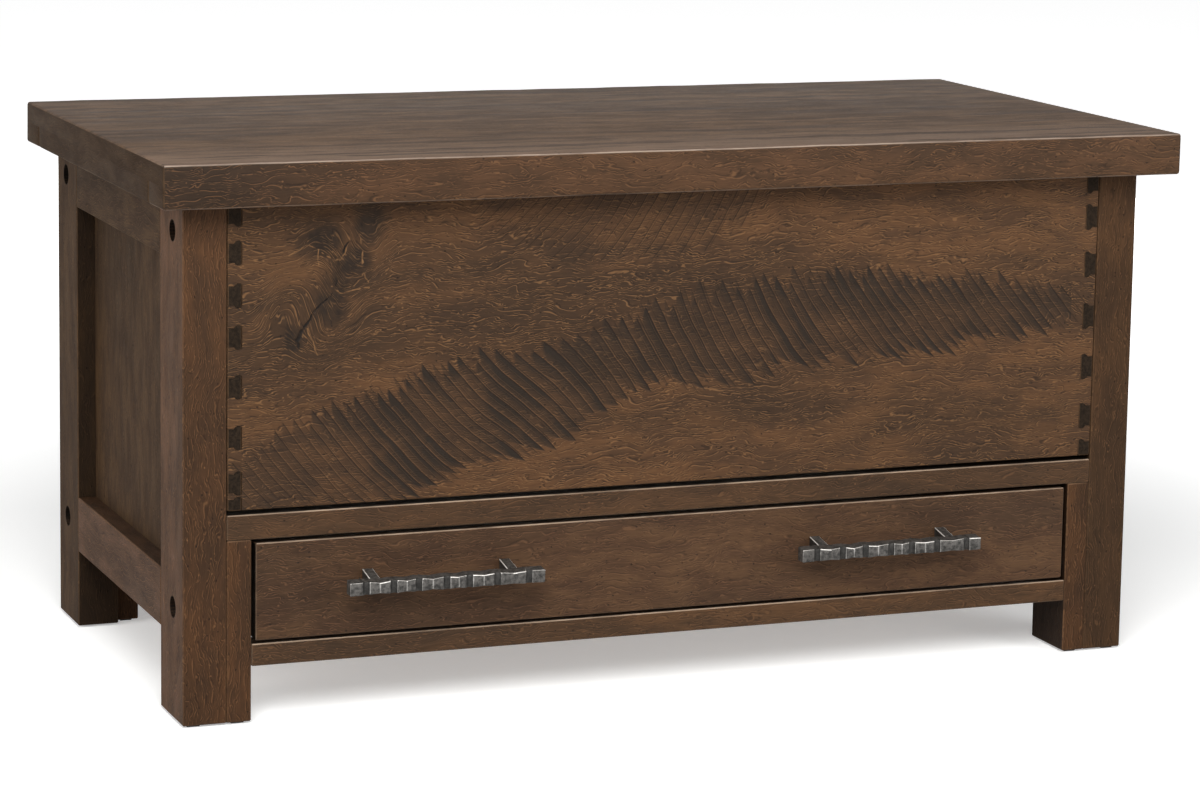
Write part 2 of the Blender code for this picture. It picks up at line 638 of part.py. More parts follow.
def bar_mesh(name):
    """The hammered bar round its own middle: rings of four corners joined along its length."""
    form = bmesh.new()
    rings = []
    for place, front_in, height_in in bar_sections():
        half_height = PULL_BAR_HEIGHT / 2 - height_in
        front = -PULL_BAR_DEPTH / 2 + front_in
        back = PULL_BAR_DEPTH / 2
        corners = ((front, -half_height), (back, -half_height), (back, half_height), (front, half_height))
        rings.append([form.verts.new((place, across, up)) for across, up in corners])
    for ring, following in zip(rings, rings[1:]):
        for start in range(4):
            stop = (start + 1) % 4
            form.faces.new((ring[start], ring[stop], following[stop], following[start]))
    form.faces.new(rings[0])
    form.faces.new(rings[-1])
    bmesh.ops.recalc_face_normals(form, faces=form.faces)
    mesh = bpy.data.meshes.new(name)
    form.to_mesh(mesh)
    form.free()
    return mesh


def make_pull(side, carrier, finishes):
    """One pull: the hammered bar and its two posts, which drop a little from the drawer to the bar."""
    name = SIDE_NAMES[side]
    height = (DRAWER_BASE + DRAWER_TOP) / 2 + PULL_BAR_ABOVE_MIDDLE
    root = CASE_FRONT - GAP
    middle_x = side * PULL_SPREAD + PULL_SHIFT
    centre = Vector((middle_x, root - PULL_REACH - PULL_BAR_DEPTH / 2, height))
    pull = add_object(f"pull_{name}", bar_mesh(f"pull_{name}"), centre, finishes["steel"], carrier)
    top = height + PULL_BAR_HEIGHT / 2 - GAP
    low = top - PULL_POST_SIZE
    drop = PULL_POST_DROP
    tip = root - PULL_REACH - PULL_POST_BITE
    outline = [(root, low + drop), (root, top + drop), (root - PULL_REACH, top), (tip, top), (tip, low),
               (root - PULL_REACH, low)]
    for place, post_name in ((-1, "inner"), (1, "outer")):
        middle = middle_x + place * PULL_POST_SPACING / 2
        mesh = prism(f"pull_post_{name}_{post_name}", [outline], middle - PULL_POST_SIZE / 2,
                     middle + PULL_POST_SIZE / 2, "X")
        mesh.transform(Matrix.Translation(-carrier.location))
        combine(pull, cutter(add_object(mesh.name, mesh, carrier.location.copy(), None, carrier)), "UNION")


def make_lid(carrier, finishes):
    """The top panel, and the strips that build up its edges."""
    half_width = LID_WIDTH / 2
    half_depth = LID_DEPTH / 2
    panel_base = LID_UNDERSIDE + LID_STRIP_THICKNESS
    zs = (LID_UNDERSIDE, panel_base - GAP)
    block("lid_panel", (-half_width, half_width), (-half_depth, half_depth), (panel_base, CHEST_HEIGHT),
          finishes["lid"], carrier, LID_ARRIS, -1)
    for end in (-1, 1):
        ys = pair(end * half_depth, end * (half_depth - LID_STRIP_WIDTH))
        block(f"lid_strip_{END_NAMES[end]}", (-half_width, half_width), ys, zs, finishes["lid"], carrier,
              joint_side=1)
    for side in (-1, 1):
        xs = pair(side * half_width, side * (half_width - LID_END_STRIP_WIDTH))
        inner = half_depth - LID_STRIP_WIDTH - GAP
        block(f"lid_strip_{SIDE_NAMES[side]}", xs, (-inner, inner), zs, finishes["lid"], carrier,
              joint_side=1)


def add_knuckles(leaf, parity, carrier):
    """Join every second barrel segment onto a hinge leaf."""
    pitch = HINGE_LENGTH / HINGE_KNUCKLES
    for number in range(parity, HINGE_KNUCKLES, 2):
        middle = -HINGE_LENGTH / 2 + (number + 0.5) * pitch
        knuckle = rod(f"knuckle_{number}", (middle, HINGE_AXIS_Y, HINGE_AXIS_Z), HINGE_BARREL_RADIUS,
                      pitch - HINGE_KNUCKLE_GAP, None, carrier, HINGE_SIDES)
        combine(leaf, cutter(knuckle), "UNION")


def relieve_leaf(leaf, parity, carrier):
    """Cut a leaf back where the other leaf's knuckles turn."""
    pitch = HINGE_LENGTH / HINGE_KNUCKLES
    for number in range(1 - parity, HINGE_KNUCKLES, 2):
        middle = -HINGE_LENGTH / 2 + (number + 0.5) * pitch
        room = rod(f"knuckle_room_{number}", (middle, HINGE_AXIS_Y, HINGE_AXIS_Z),
                   HINGE_BARREL_RADIUS + GAP, pitch, None, carrier, HINGE_SIDES)
        combine(leaf, cutter(room))


def make_hinge(carrier, finishes):
    """The continuous hinge: one leaf down the back of the box, one under the lid's overhang."""
    half = HINGE_LENGTH / 2
    inset = GAP
    near = CASE_BACK + GAP + inset
    case_leaf = block("hinge_case_leaf", (-half, half), (near, near + HINGE_LEAF_THICKNESS),
                      (HINGE_AXIS_Z - HINGE_CASE_LEAF_WIDTH, HINGE_AXIS_Z), finishes["hinge"], arris=0)
    top = LID_UNDERSIDE - GAP - inset
    lid_leaf = block("hinge_lid_leaf", (-half, half), (HINGE_AXIS_Y, HINGE_AXIS_Y + HINGE_LID_LEAF_WIDTH),
                     (top - HINGE_LEAF_THICKNESS, top), finishes["hinge"], carrier, arris=0)
    bore = cutter(rod("hinge_bore", (0.0, HINGE_AXIS_Y, HINGE_AXIS_Z), HINGE_PIN_RADIUS + GAP,
                      HINGE_LENGTH + 2 * CUT_OVERRUN, sides=HINGE_SIDES))
    for leaf, parity, owner in ((case_leaf, 0, None), (lid_leaf, 1, carrier)):
        relieve_leaf(leaf, parity, owner)
        add_knuckles(leaf, parity, owner)
        combine(leaf, bore)
    rod("hinge_pin", (0.0, HINGE_AXIS_Y, HINGE_AXIS_Z), HINGE_PIN_RADIUS, HINGE_LENGTH,
        finishes["hinge"], sides=HINGE_SIDES)


def main():
    """Build the chest."""
    clear_scene()
    finishes = make_surfaces()
    slide_start = Vector((0.0, CASE_FRONT, SLIDE_MIDDLE_HEIGHT))
    carriers = {
        "lid": carrier_at("lid_axis", Vector((0.0, HINGE_AXIS_Y, HINGE_AXIS_Z))),
        "drawer": carrier_at("drawer_travel", slide_start),
    }
    for side in (-1, 1):
        place = Vector((side * SLIDE_WALL_FACE, CASE_FRONT, SLIDE_MIDDLE_HEIGHT))
        carriers[SIDE_NAMES[side]] = carrier_at(f"slide_travel_{SIDE_NAMES[side]}", place)
    for side in (-1, 1):
        make_frame_end(side, finishes)
        make_slides(side, carriers, finishes)
        make_pull(side, carriers["drawer"], finishes)
    make_long_rails(finishes)
    make_box(finishes)
    make_drawer(carriers["drawer"], finishes)
    make_lid(carriers["lid"], finishes)
    make_hinge(carriers["lid"], finishes)


main()
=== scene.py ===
"""Blanket chest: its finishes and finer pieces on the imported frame, laid out as an add-on."""

import copy
import math
import random

import bpy
from mathutils import Matrix, Vector


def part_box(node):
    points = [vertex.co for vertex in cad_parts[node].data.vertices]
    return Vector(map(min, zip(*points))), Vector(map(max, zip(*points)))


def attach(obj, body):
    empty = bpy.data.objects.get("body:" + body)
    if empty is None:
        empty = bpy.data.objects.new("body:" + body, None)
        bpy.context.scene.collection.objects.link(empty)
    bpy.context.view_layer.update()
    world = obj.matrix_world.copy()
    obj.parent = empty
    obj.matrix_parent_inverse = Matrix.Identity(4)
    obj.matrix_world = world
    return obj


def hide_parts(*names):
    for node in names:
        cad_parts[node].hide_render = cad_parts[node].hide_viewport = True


bl_info = {
    "name": "Blanket chest",
    "version": (1, 0, 0),
    "blender": (4, 5, 0),
    "location": "View3D > Sidebar > Chest",
    "description": "Stained wood, forged pulls and a pale studio for a blanket chest",
    "category": "Object",
}

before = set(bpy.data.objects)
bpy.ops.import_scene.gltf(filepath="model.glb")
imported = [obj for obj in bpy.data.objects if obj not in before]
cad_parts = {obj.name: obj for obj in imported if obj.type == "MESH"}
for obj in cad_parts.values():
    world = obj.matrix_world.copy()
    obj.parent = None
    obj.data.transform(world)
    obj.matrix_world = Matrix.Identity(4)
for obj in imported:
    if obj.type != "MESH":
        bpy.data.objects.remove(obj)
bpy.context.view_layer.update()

MM = 0.001
GRAIN_AXES = ("X", "Y", "Z")
UP_AND_FORWARDS = (0.0, -0.7071, 0.7071)
LEFTWARDS, RIGHTWARDS = (-1.0, 0.0, 0.0), (1.0, 0.0, 0.0)
FORWARDS, UPWARDS = (0.0, -1.0, 0.0), (0.0, 0.0, 1.0)
# How far off a pattern's steepness is measured, and how wide the painted shade round a peg hole's rim is
STEEPNESS_STEP = 0.3 * MM
HOLE_RIM = 0.9 * MM
SIDES = ("left", "right")
CORNERS = [f"{depth}_{side}" for depth in ("front", "back") for side in SIDES]
# The setting that a node's mode goes to, such as MULTIPLY in "Math MULTIPLY"
MODE_SETTINGS = {
    "Math": "operation", "VectorMath": "operation", "MapRange": "interpolation_type", "Mix": "data_type",
}


# Small tools


def linear(hex_colour):
    """An sRGB hex colour as the linear colour that Blender's sockets take."""
    digits = hex_colour.lstrip("#")
    channels = [int(digits[i : i + 2], 16) / 255 for i in (0, 2, 4)]
    return (*(c / 12.92 if c <= 0.04045 else ((c + 0.055) / 1.055) ** 2.4 for c in channels), 1.0)


def add(tree, kind, links=(), **settings):
    """Adds one node with its settings and gives its first live output.

    kind is the node's kind, with its mode after a space where it has one. links is a dict of input names, or
    one entry for each live input in turn. An entry is a socket to link, a value to set, or None to leave the
    input as it is.
    """
    kind, _, mode = kind.partition(" ")
    if mode:
        settings[MODE_SETTINGS[kind]] = mode
    node = tree.nodes.new("ShaderNode" + kind)
    for setting, value in settings.items():
        setattr(node, setting, value)
    if isinstance(links, dict):
        entries = [(node.inputs[name], value) for name, value in links.items()]
    else:
        entries = zip([socket for socket in node.inputs if socket.enabled], links)
    for socket, value in entries:
        if isinstance(value, bpy.types.NodeSocket):
            tree.links.new(value, socket)
        elif value is not None:
            socket.default_value = value
    return next((socket for socket in node.outputs if socket.enabled), node)


def new_material(name):
    """An empty node material."""
    material = bpy.data.materials.new(name)
    material.use_nodes = True
    material.node_tree.nodes.clear()
    return material, material.node_tree


def finish_material(tree, surface):
    """Links the shader to the material's output."""
    add(tree, "OutputMaterial", {"Surface": surface})


def dress(material, *node_names):
    """Puts a finish on CAD nodes, whose shape stays as it is."""
    for node_name in node_names:
        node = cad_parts[node_name]
        for slot in node.material_slots:
            slot.material = material
        if not node.material_slots:
            node.data.materials.append(material)


def deselect():
    """Leaves nothing selected, so that an operator works on its own piece alone."""
    if bpy.context.object and bpy.context.object.mode != "OBJECT":
        bpy.ops.object.mode_set(mode="OBJECT")
    for obj in bpy.context.selected_objects:
        obj.select_set(False)


def take(obj):
    """Makes one piece the active one and the only one selected."""
    deselect()
    obj.select_set(True)
    bpy.context.view_layer.objects.active = obj


def pick(obj, faces=None, edges=None, points=None):
    """In edit mode, selects the faces, edges or points for which the test holds, and nothing else."""
    bpy.ops.mesh.select_mode(type="FACE" if faces else "EDGE" if edges else "VERT")
    bpy.ops.mesh.select_all(action="DESELECT")
    bpy.ops.object.mode_set(mode="OBJECT")
    if faces:
        for face in obj.data.polygons:
            face.select = faces(face)
    if edges:
        corners = obj.data.vertices
        for edge in obj.data.edges:
            edge.select = edges(*(corners[i].co for i in edge.vertices))
    if points:
        for point in obj.data.vertices:
            point.select = points(point.co)
    bpy.ops.object.mode_set(mode="EDIT")


def settle(obj):
    """Puts a piece's place into its mesh, so that its object sits at the origin as a CAD node's does."""
    take(obj)
    bpy.ops.object.transform_apply(location=True, rotation=True, scale=True)


# Wood


class Wood:
    """The looks of one stained board: its colours, and how strong each part of its figure is."""

    # What a board has where its own line below doesn't say otherwise
    USUAL = {
        "smoke_share": 0.55, "fleck_share": 0.6, "relief": 1.0, "roughness": 0.5, "shine": 0.15,
        "worn": 0.15, "rubbed_and_lit": 0.45, "arris": "#8d7057", "streaks": 0.0, "front_sheen": 0.0, "smoky_end": 0.0,
        "tilt": 0.0, "rise": 0.0,
    }

    def __init__(self, body, warm, smoke, fleck, groove, **amounts):
        self.body, self.warm, self.smoke = linear(body), linear(warm), linear(smoke)
        self.fleck, self.groove = linear(fleck), linear(groove)
        for name, amount in {**self.USUAL, **amounts}.items():
            setattr(self, name, amount)
        self.arris = linear(self.arris)

    def stained(self, colour):
        """The same board under another stain: its other colours change as its body does."""
        changed = copy.copy(self)
        for part in ("body", "warm", "smoke", "fleck", "groove"):
            old = getattr(self, part)
            shares = [new / body for new, body in zip(colour, self.body)]
            setattr(changed, part, (*(value * share for value, share in zip(old, shares)), 1.0))
        return changed


# Rough-sawn maple under a dark walnut stain: raised fibres take less stain than the hollows beside them.
# Each board's body, warm areas, smoky areas, raised fibres and hollows
FRONT_WOOD = Wood(
    "#493424", "#5c4029", "#30241a", "#83603f", "#1e150f",
    fleck_share=0.62, smoke_share=0.7, roughness=0.6, tilt=0.06,
)
DRAWER_WOOD = Wood(
    "#483324", "#573f2b", "#30241b", "#74533a", "#1f1610",
    fleck_share=0.42, roughness=0.6, arris="#b09a86", rubbed_and_lit=0.85, tilt=0.17,
)
POST_WOOD = Wood(
    "#463122", "#573b26", "#32251b", "#775538", "#1f1610",
    fleck_share=0.45, roughness=0.65, shine=0.1, rise=0.12,
)
DARK_POST_WOOD = Wood(
    "#402e20", "#4e3724", "#2e2319", "#6f5036", "#1e150f", fleck_share=0.4, roughness=0.7, shine=0.1,
)
RAIL_WOOD = Wood(
    "#463323", "#563d28", "#32261c", "#725136", "#1f1610",
    fleck_share=0.4, roughness=0.6, arris="#b09a86", rubbed_and_lit=0.85,
)
SIDE_WOOD = Wood(
    "#3c2d21", "#493624", "#2b2118", "#664c34", "#1c140e", fleck_share=0.35, roughness=0.75, shine=0.08,
)
# The pegs: dark end grain, darkened further to near black as painted shade of the holes they sit in
SHADED_PEG_WOOD = Wood(
    "#100c09", "#15100c", "#0d0a07", "#1d1711", "#080605", fleck_share=0.3, roughness=0.8, shine=0.05,
)
LID_END_WOOD = Wood(
    "#312419", "#3b2c1e", "#241b14", "#563f29", "#1b130e", fleck_share=0.35, roughness=0.75, shine=0.08,
)
LID_WOOD = Wood(
    "#4b3929", "#5d452f", "#33271e", "#86674d", "#261c15",
    fleck_share=0.35, streaks=0.9, roughness=0.7, shine=0.2, front_sheen=0.45, relief=0.7,
    arris="#b3a091", rubbed_and_lit=0.85, worn=0.0,
)
LID_EDGE_WOOD = Wood(
    "#443122", "#543b28", "#30241a", "#7a573a", "#1f1610",
    fleck_share=0.5, roughness=0.6, arris="#b3a091", rubbed_and_lit=0.85, worn=0.0, smoky_end=0.9, tilt=0.16,
)
# Painted shade for faces in joint gaps, recesses and holes, and a painted sheen that makes the lid's top
# paler towards its front
PAINTED_SHADE = linear("#0b0806")
PAINTED_LID_SHEEN = linear("#8b7667")
END_GRAIN = (linear("#1f1812"), linear("#2f251c"))
END_GRAIN_SPECK = linear("#14100c")
# The figure's parts: scales per metre along and across the grain, detail and roughness
FIGURE = (
    ((2.4, 9.0), 3.0, 0.55),  # smoky clouds
    ((14.0, 42.0), 4.0, 0.6),  # warm mottle
    ((26.0, 520.0), 2.0, 0.6),  # fine fibres
    ((70.0, 170.0), 2.0, 0.5),  # breaks in the raised fibres
)
# Raised fibres 2 to 3 mm apart that wave and curl along the grain, and larger curls 9 mm apart: the breaks'
# values between which they show, lines per metre, scales and strength of the swirl, and half a line's width
CURLS = (
    (0.46, 0.60, 380.0, (56.0, 125.0), 5.0, 0.31 * MM),
    (0.52, 0.42, 115.0, (17.0, 44.0), 4.5, 0.34 * MM),
)
# The widest that half a line grows, as a share of the space between two lines
WIDEST_HALF_LINE = 0.22
# Scales per metre along and across the grain
PORE_SCALES = (150.0, 210.0)
STREAK_SCALES = (2.0, 60.0)
RING_SCALES = (60.0, 320.0)


def stretched(tree, place, grain, along, across):
    """The place on a board, stretched so that a pattern is long along the grain; scales are per metre."""
    scale = [along if axis == grain else across for axis in GRAIN_AXES]
    return add(tree, "VectorMath MULTIPLY", (place, scale))


def board_place(tree, shift, reach=0.03):
    """The place on the board in metres, moved to its own part of the log and bent as real grain is."""
    place = add(tree, "TexCoord").node.outputs["Object"]
    moved = add(tree, "VectorMath ADD", (place, shift))
    bend = add(tree, "TexNoise", (moved, 9.0, 2.0, 0.5)).node.outputs["Color"]
    centred = add(tree, "VectorMath SUBTRACT", (bend, (0.5, 0.5, 0.5)))
    scaled = add(tree, "VectorMath SCALE", {"Vector": centred, "Scale": reach})
    return place, add(tree, "VectorMath ADD", (moved, scaled))


def figure_phase(tree, place, grain, density, swirl_scales, swirl):
    """How many lines lie between a place and the board's edge: the figure's swirl pushes them aside."""
    parts = add(tree, "SeparateXYZ", (place,)).node.outputs
    across = [parts[axis] for axis in GRAIN_AXES if axis != grain]
    far_across = add(tree, "Math ADD", (across[0], across[1]))
    figure = add(tree, "TexNoise", (stretched(tree, place, grain, *swirl_scales), 1.0, 2.0, 0.5))
    counted = add(tree, "Math MULTIPLY", (far_across, density))
    return add(tree, "Math MULTIPLY_ADD", (figure, swirl, counted))


def figure_lines(tree, place, grain, shown_where, density, swirl_scales, swirl, half_width):
    """Thin light lines, each with a dark one beside it, that follow the grain and curl where the figure does.

    density is in lines per metre across the grain, and swirl in lines that the figure pushes them aside.
    half_width is in metres. The lines keep it where they spread out, because it is set against how steeply
    their count changes there.
    """
    look = (grain, density, swirl_scales, swirl)
    phase = figure_phase(tree, place, *look)
    steep = 0.0
    for on_grain in (True, False):
        step = [STEEPNESS_STEP * ((axis == grain) == on_grain) for axis in GRAIN_AXES]
        nearby = add(tree, "VectorMath ADD", (place, step))
        change = add(tree, "Math SUBTRACT", (figure_phase(tree, nearby, *look), phase))
        steep = add(tree, "Math MULTIPLY_ADD", (change, change, steep))
    steep = add(tree, "Math SQRT", (steep,))
    half = add(tree, "Math MULTIPLY", (steep, half_width / STEEPNESS_STEP))
    half = add(tree, "Math MINIMUM", (half, WIDEST_HALF_LINE))
    within = add(tree, "Math FRACT", (phase,))
    from_middle = add(tree, "Math SUBTRACT", (within, 0.5))
    lines = []
    for side in ("Math ADD", "Math SUBTRACT"):
        far = add(tree, "Math ABSOLUTE", (add(tree, side, (from_middle, half)),))
        inner = add(tree, "Math MULTIPLY", (half, 0.3))
        near = add(tree, "MapRange SMOOTHSTEP", (far, half, inner))
        lines.append(add(tree, "Math MULTIPLY", (near, shown_where)))
    return lines


def in_shade(tree, colour, shaded):
    """Darkens the faces that turn towards given directions with painted shade: faces inside joint gaps and
    recesses, where shade falls.
    """
    facing = add(tree, "TexCoord").node.outputs["Normal"]
    for direction, amount in shaded:
        towards = add(tree, "VectorMath DOT_PRODUCT", (facing, direction)).node.outputs["Value"]
        shade = add(tree, "MapRange SMOOTHSTEP", (towards, 0.8, 0.95, 0.0, amount))
        colour = add(tree, "Mix RGBA", (shade, colour, PAINTED_SHADE))
    return colour


def end_grain(tree, place, grain):
    """The colour of a cut end, which drinks the stain and dries almost black, with short darker rings."""
    rings = add(tree, "TexNoise", (stretched(tree, place, grain, *RING_SCALES), 1.0, 3.0, 0.6))
    speck = add(tree, "TexNoise", (place, 900.0, 1.0, 0.5))
    shade = add(tree, "MapRange SMOOTHSTEP", (rings, 0.35, 0.65))
    colour = add(tree, "Mix RGBA", (shade, *END_GRAIN))
    specks = add(tree, "MapRange SMOOTHSTEP", (speck, 0.62, 0.74, 0.0, 0.5))
    return add(tree, "Mix RGBA", (specks, colour, END_GRAIN_SPECK))


def with_end_grain(tree, place, grain, colour):
    """End grain wherever a face is cut across the board."""
    facing = add(tree, "SeparateXYZ", (add(tree, "TexCoord").node.outputs["Normal"],)).node.outputs[grain]
    across = add(tree, "MapRange", (add(tree, "Math ABSOLUTE", (facing,)), 0.85, 0.95))
    return add(tree, "Mix RGBA", (across, colour, end_grain(tree, place, grain)))


def in_holes(tree, place, colour, holes):
    """Darkens the walls and rims of holes bored along X with painted shade; each has a y, a z and a radius.
    """
    parts = add(tree, "SeparateXYZ", (place,)).node.outputs
    for centre_y, centre_z, radius in holes:
        flat = add(tree, "CombineXYZ", (0.0, parts["Y"], parts["Z"]))
        far = add(tree, "VectorMath DISTANCE", (flat, (0.0, centre_y, centre_z))).node.outputs["Value"]
        near = add(tree, "MapRange SMOOTHSTEP", (far, radius + HOLE_RIM, radius))
        colour = add(tree, "Mix RGBA", (near, colour, PAINTED_SHADE))
    return colour


def stained_wood(
    name, wood, grain="X", shift=(0.0, 0.0, 0.0), marks=None, shaded=(), holes=(), cut_ends=False
):
    """Stained board: smoky and warm areas, fine fibres, short wriggly flecks and small pits."""
    material, tree = new_material(name)
    place, bent = board_place(tree, shift)
    if marks:
        bent = marks["bend"](tree, place, bent)

    clouds, mottle, fibre, broken = (
        add(tree, "TexNoise", (stretched(tree, bent, grain, *scales), 1.0, detail, rough))
        for scales, detail, rough in FIGURE
    )
    curls = []
    for shown_from, shown_to, *look in CURLS:
        shown = add(tree, "MapRange SMOOTHSTEP", (broken, shown_from, shown_to))
        curls.append(figure_lines(tree, bent, grain, shown, *look))
    light, dark = (add(tree, "Math MAXIMUM", pair) for pair in zip(*curls))
    pores = add(tree, "TexVoronoi", (stretched(tree, bent, grain, *PORE_SCALES), 1.0, 0.0, 0.5, 2.0, 1.0))
    chosen = add(tree, "SeparateColor", (pores.node.outputs["Color"],)).node.outputs
    near_pore = add(tree, "MapRange SMOOTHSTEP", (pores, 0.26, 0.10))
    # One pore in ten is a dark pit, and one in fourteen a pale dot
    pits, dots = (
        add(tree, "Math MULTIPLY", (near_pore, add(tree, "Math GREATER_THAN", (chosen[channel], most))))
        for channel, most in (("Red", 0.9), ("Green", 0.93))
    )

    warmth = add(tree, "MapRange SMOOTHSTEP", (mottle, 0.36, 0.64))
    colour = add(tree, "Mix RGBA", (warmth, wood.body, wood.warm))
    smoke = add(tree, "MapRange SMOOTHSTEP", (clouds, 0.42, 0.68))
    smoke = add(tree, "Math MULTIPLY", (smoke, wood.smoke_share))
    if marks:
        smoke = marks["smoke"](tree, place, smoke)
    parts = add(tree, "SeparateXYZ", (place,)).node.outputs
    if wood.smoky_end:
        at_end = add(tree, "MapRange SMOOTHSTEP", (parts["X"], -0.36, -0.56, 0.0, wood.smoky_end))
        smoke = add(tree, "Math MAXIMUM", (smoke, at_end))
    colour = add(tree, "Mix RGBA", (smoke, colour, wood.smoke))
    # Painted sheen: the lid's top is painted paler towards its front edge
    if wood.front_sheen:
        sheen_share = add(tree, "MapRange SMOOTHSTEP", (parts["Y"], -0.12, -0.30, 0.0, wood.front_sheen))
        colour = add(tree, "Mix RGBA", (sheen_share, colour, PAINTED_LID_SHEEN))
    if wood.streaks:
        streak = add(tree, "TexNoise", (stretched(tree, bent, grain, *STREAK_SCALES), 1.0, 3.0, 0.6))
        streak = add(tree, "MapRange SMOOTHSTEP", (streak, 0.45, 0.7, 0.0, wood.streaks))
        colour = add(tree, "Mix RGBA", (streak, colour, wood.smoke))
    shade = add(tree, "MapRange", (fibre, 0.25, 0.75, 0.80, 1.20))
    # A board cut where the log grew paler towards its right end, or a post whose foot took more stain
    for axis, change, start, end in (("X", wood.tilt, -0.6, 0.6), ("Z", wood.rise, 0.1, 0.5)):
        if change:
            paler = add(tree, "MapRange", (parts[axis], start, end, 1.0 - change, 1.0 + change))
            shade = add(tree, "Math MULTIPLY", (shade, paler))
    colour = add(tree, "VectorMath SCALE", {"Vector": colour, "Scale": shade})
    for part, share, stain in (
        (light, wood.fleck_share, wood.fleck), (dark, wood.fleck_share, wood.groove),
        (pits, 0.8, wood.groove), (dots, 0.6, wood.fleck),
    ):
        amount = add(tree, "Math MULTIPLY", (part, share))
        colour = add(tree, "Mix RGBA", (amount, colour, stain))

    # Arrises rubbed paler, where a face turns away from the board's own three directions; those that face up
    # and forwards are painted paler still, a painted highlight as well as wear
    facing = add(tree, "TexCoord").node.outputs["Normal"]
    turn = add(tree, "SeparateXYZ", (facing,)).node.outputs
    squared = [add(tree, "Math MULTIPLY", (turn[axis], turn[axis])) for axis in GRAIN_AXES]
    flattest = add(tree, "Math MAXIMUM", (squared[0], squared[1]))
    flattest = add(tree, "Math MAXIMUM", (flattest, squared[2]))
    arris = add(tree, "MapRange SMOOTHSTEP", (flattest, 0.92, 0.62))
    to_front = add(tree, "VectorMath DOT_PRODUCT", (facing, UP_AND_FORWARDS)).node.outputs["Value"]
    rubbed_and_lit = add(tree, "MapRange SMOOTHSTEP", (to_front, 0.75, 0.95, wood.worn, wood.rubbed_and_lit))
    worn = add(tree, "Math MULTIPLY", (arris, rubbed_and_lit))
    worn = add(tree, "Math MULTIPLY", (worn, add(tree, "MapRange", (mottle, 0.35, 0.6, 0.4, 1.0))))
    colour = add(tree, "Mix RGBA", (worn, colour, wood.arris))
    if cut_ends:
        colour = with_end_grain(tree, place, grain, colour)
    colour = in_shade(tree, colour, shaded)
    colour = in_holes(tree, place, colour, holes)

    # Relief in millimetres
    height = add(tree, "Math MULTIPLY", (mottle, 0.9))
    for part, amount in ((light, 0.12), (dark, -0.15), (fibre, 0.10), (pits, -0.5), (dots, 0.25)):
        height = add(tree, "Math MULTIPLY_ADD", (part, amount, height))
    if marks:
        colour, height = marks["cut"](tree, place, wood, colour, height)
    bump = add(tree, "Bump", {"Strength": 1.0, "Distance": MM * wood.relief, "Height": height})
    gloss = add(tree, "MapRange", (mottle, 0.3, 0.7, wood.roughness + 0.08, wood.roughness - 0.05))
    looks = {
        "Base Color": colour, "Roughness": gloss, "Normal": bump, "IOR": 1.5,
        "Specular IOR Level": wood.shine,
    }
    finish_material(tree, add(tree, "BsdfPrincipled", looks))
    return material


# Places of the front board's marks, in metres as x and z on its face. A band of saw strokes has its top and
# bottom edges, how far its strokes lean, as x over z, the height at which a stroke's place is counted, how
# much they curl, how deep they are cut and how dark they are along the board.
SAW_BANDS = (
    {
        "top": (
            (-0.523, 0.283), (-0.446, 0.333), (-0.331, 0.373), (-0.214, 0.398), (-0.142, 0.400),
            (-0.094, 0.423), (-0.046, 0.440), (0.028, 0.459), (0.102, 0.468), (0.278, 0.469),
            (0.421, 0.451), (0.500, 0.438),
        ),
        "bottom": (
            (-0.523, 0.245), (-0.411, 0.243), (-0.331, 0.241), (-0.272, 0.257), (-0.214, 0.277),
            (-0.142, 0.293), (-0.094, 0.330), (-0.046, 0.350), (0.028, 0.350), (0.202, 0.368),
            (0.356, 0.376), (0.500, 0.402),
        ),
        "lean": ((-0.523, 0.74), (-0.40, 0.80), (-0.28, 0.86), (-0.20, 0.88), (-0.13, 0.70), (-0.05, 0.50),
                 (0.05, 0.54), (0.16, 0.68), (0.28, 0.82), (0.50, 0.86)),
        "middle": ((-0.523, 0.285), (-0.30, 0.305), (-0.14, 0.350), (-0.02, 0.395), (0.12, 0.415),
                   (0.50, 0.415)),
        "curl": -0.8,
        "depth": 1.0,
        "dark": ((-0.523, 0.35), (-0.42, 0.6), (-0.33, 0.95), (-0.20, 0.98), (-0.12, 0.8), (0.0, 0.8),
                 (0.15, 0.9), (0.30, 0.9), (0.42, 0.85), (0.50, 0.35)),
    },
    {
        "top": ((-0.26, 0.575), (-0.214, 0.580), (0.077, 0.580), (0.12, 0.560)),
        "bottom": (
            (-0.26, 0.570), (-0.214, 0.529), (-0.142, 0.506), (-0.070, 0.501), (0.003, 0.506),
            (0.077, 0.537), (0.12, 0.575),
        ),
        "lean": ((-0.26, -1.20), (-0.14, -0.95), (-0.03, -0.62), (0.12, -0.55)),
        "middle": ((-0.26, 0.54), (0.12, 0.54)),
        "curl": 1.3,
        "depth": 0.8,
        "dark": ((-0.26, 0.05), (-0.14, 0.2), (-0.03, 0.36), (0.05, 0.36), (0.12, 0.12)),
    },
)
# Spacing in metres, seed and strength of the bold strokes and of the faint ones between them; and how far
# along the board the strokes wobble, and how far up and down their ends are staggered, in metres
STROKE_SETS = ((0.0138, 3.1, 1.0), (0.0083, 8.7, 0.5))
STROKE_WOBBLE, STROKE_STAGGER = 0.008, 0.011
# The part of the face over which the curves run
FACE_LOW_X, FACE_HIGH_X = -0.53, 0.53
FACE_LOW_Z, FACE_HIGH_Z = 0.20, 0.60
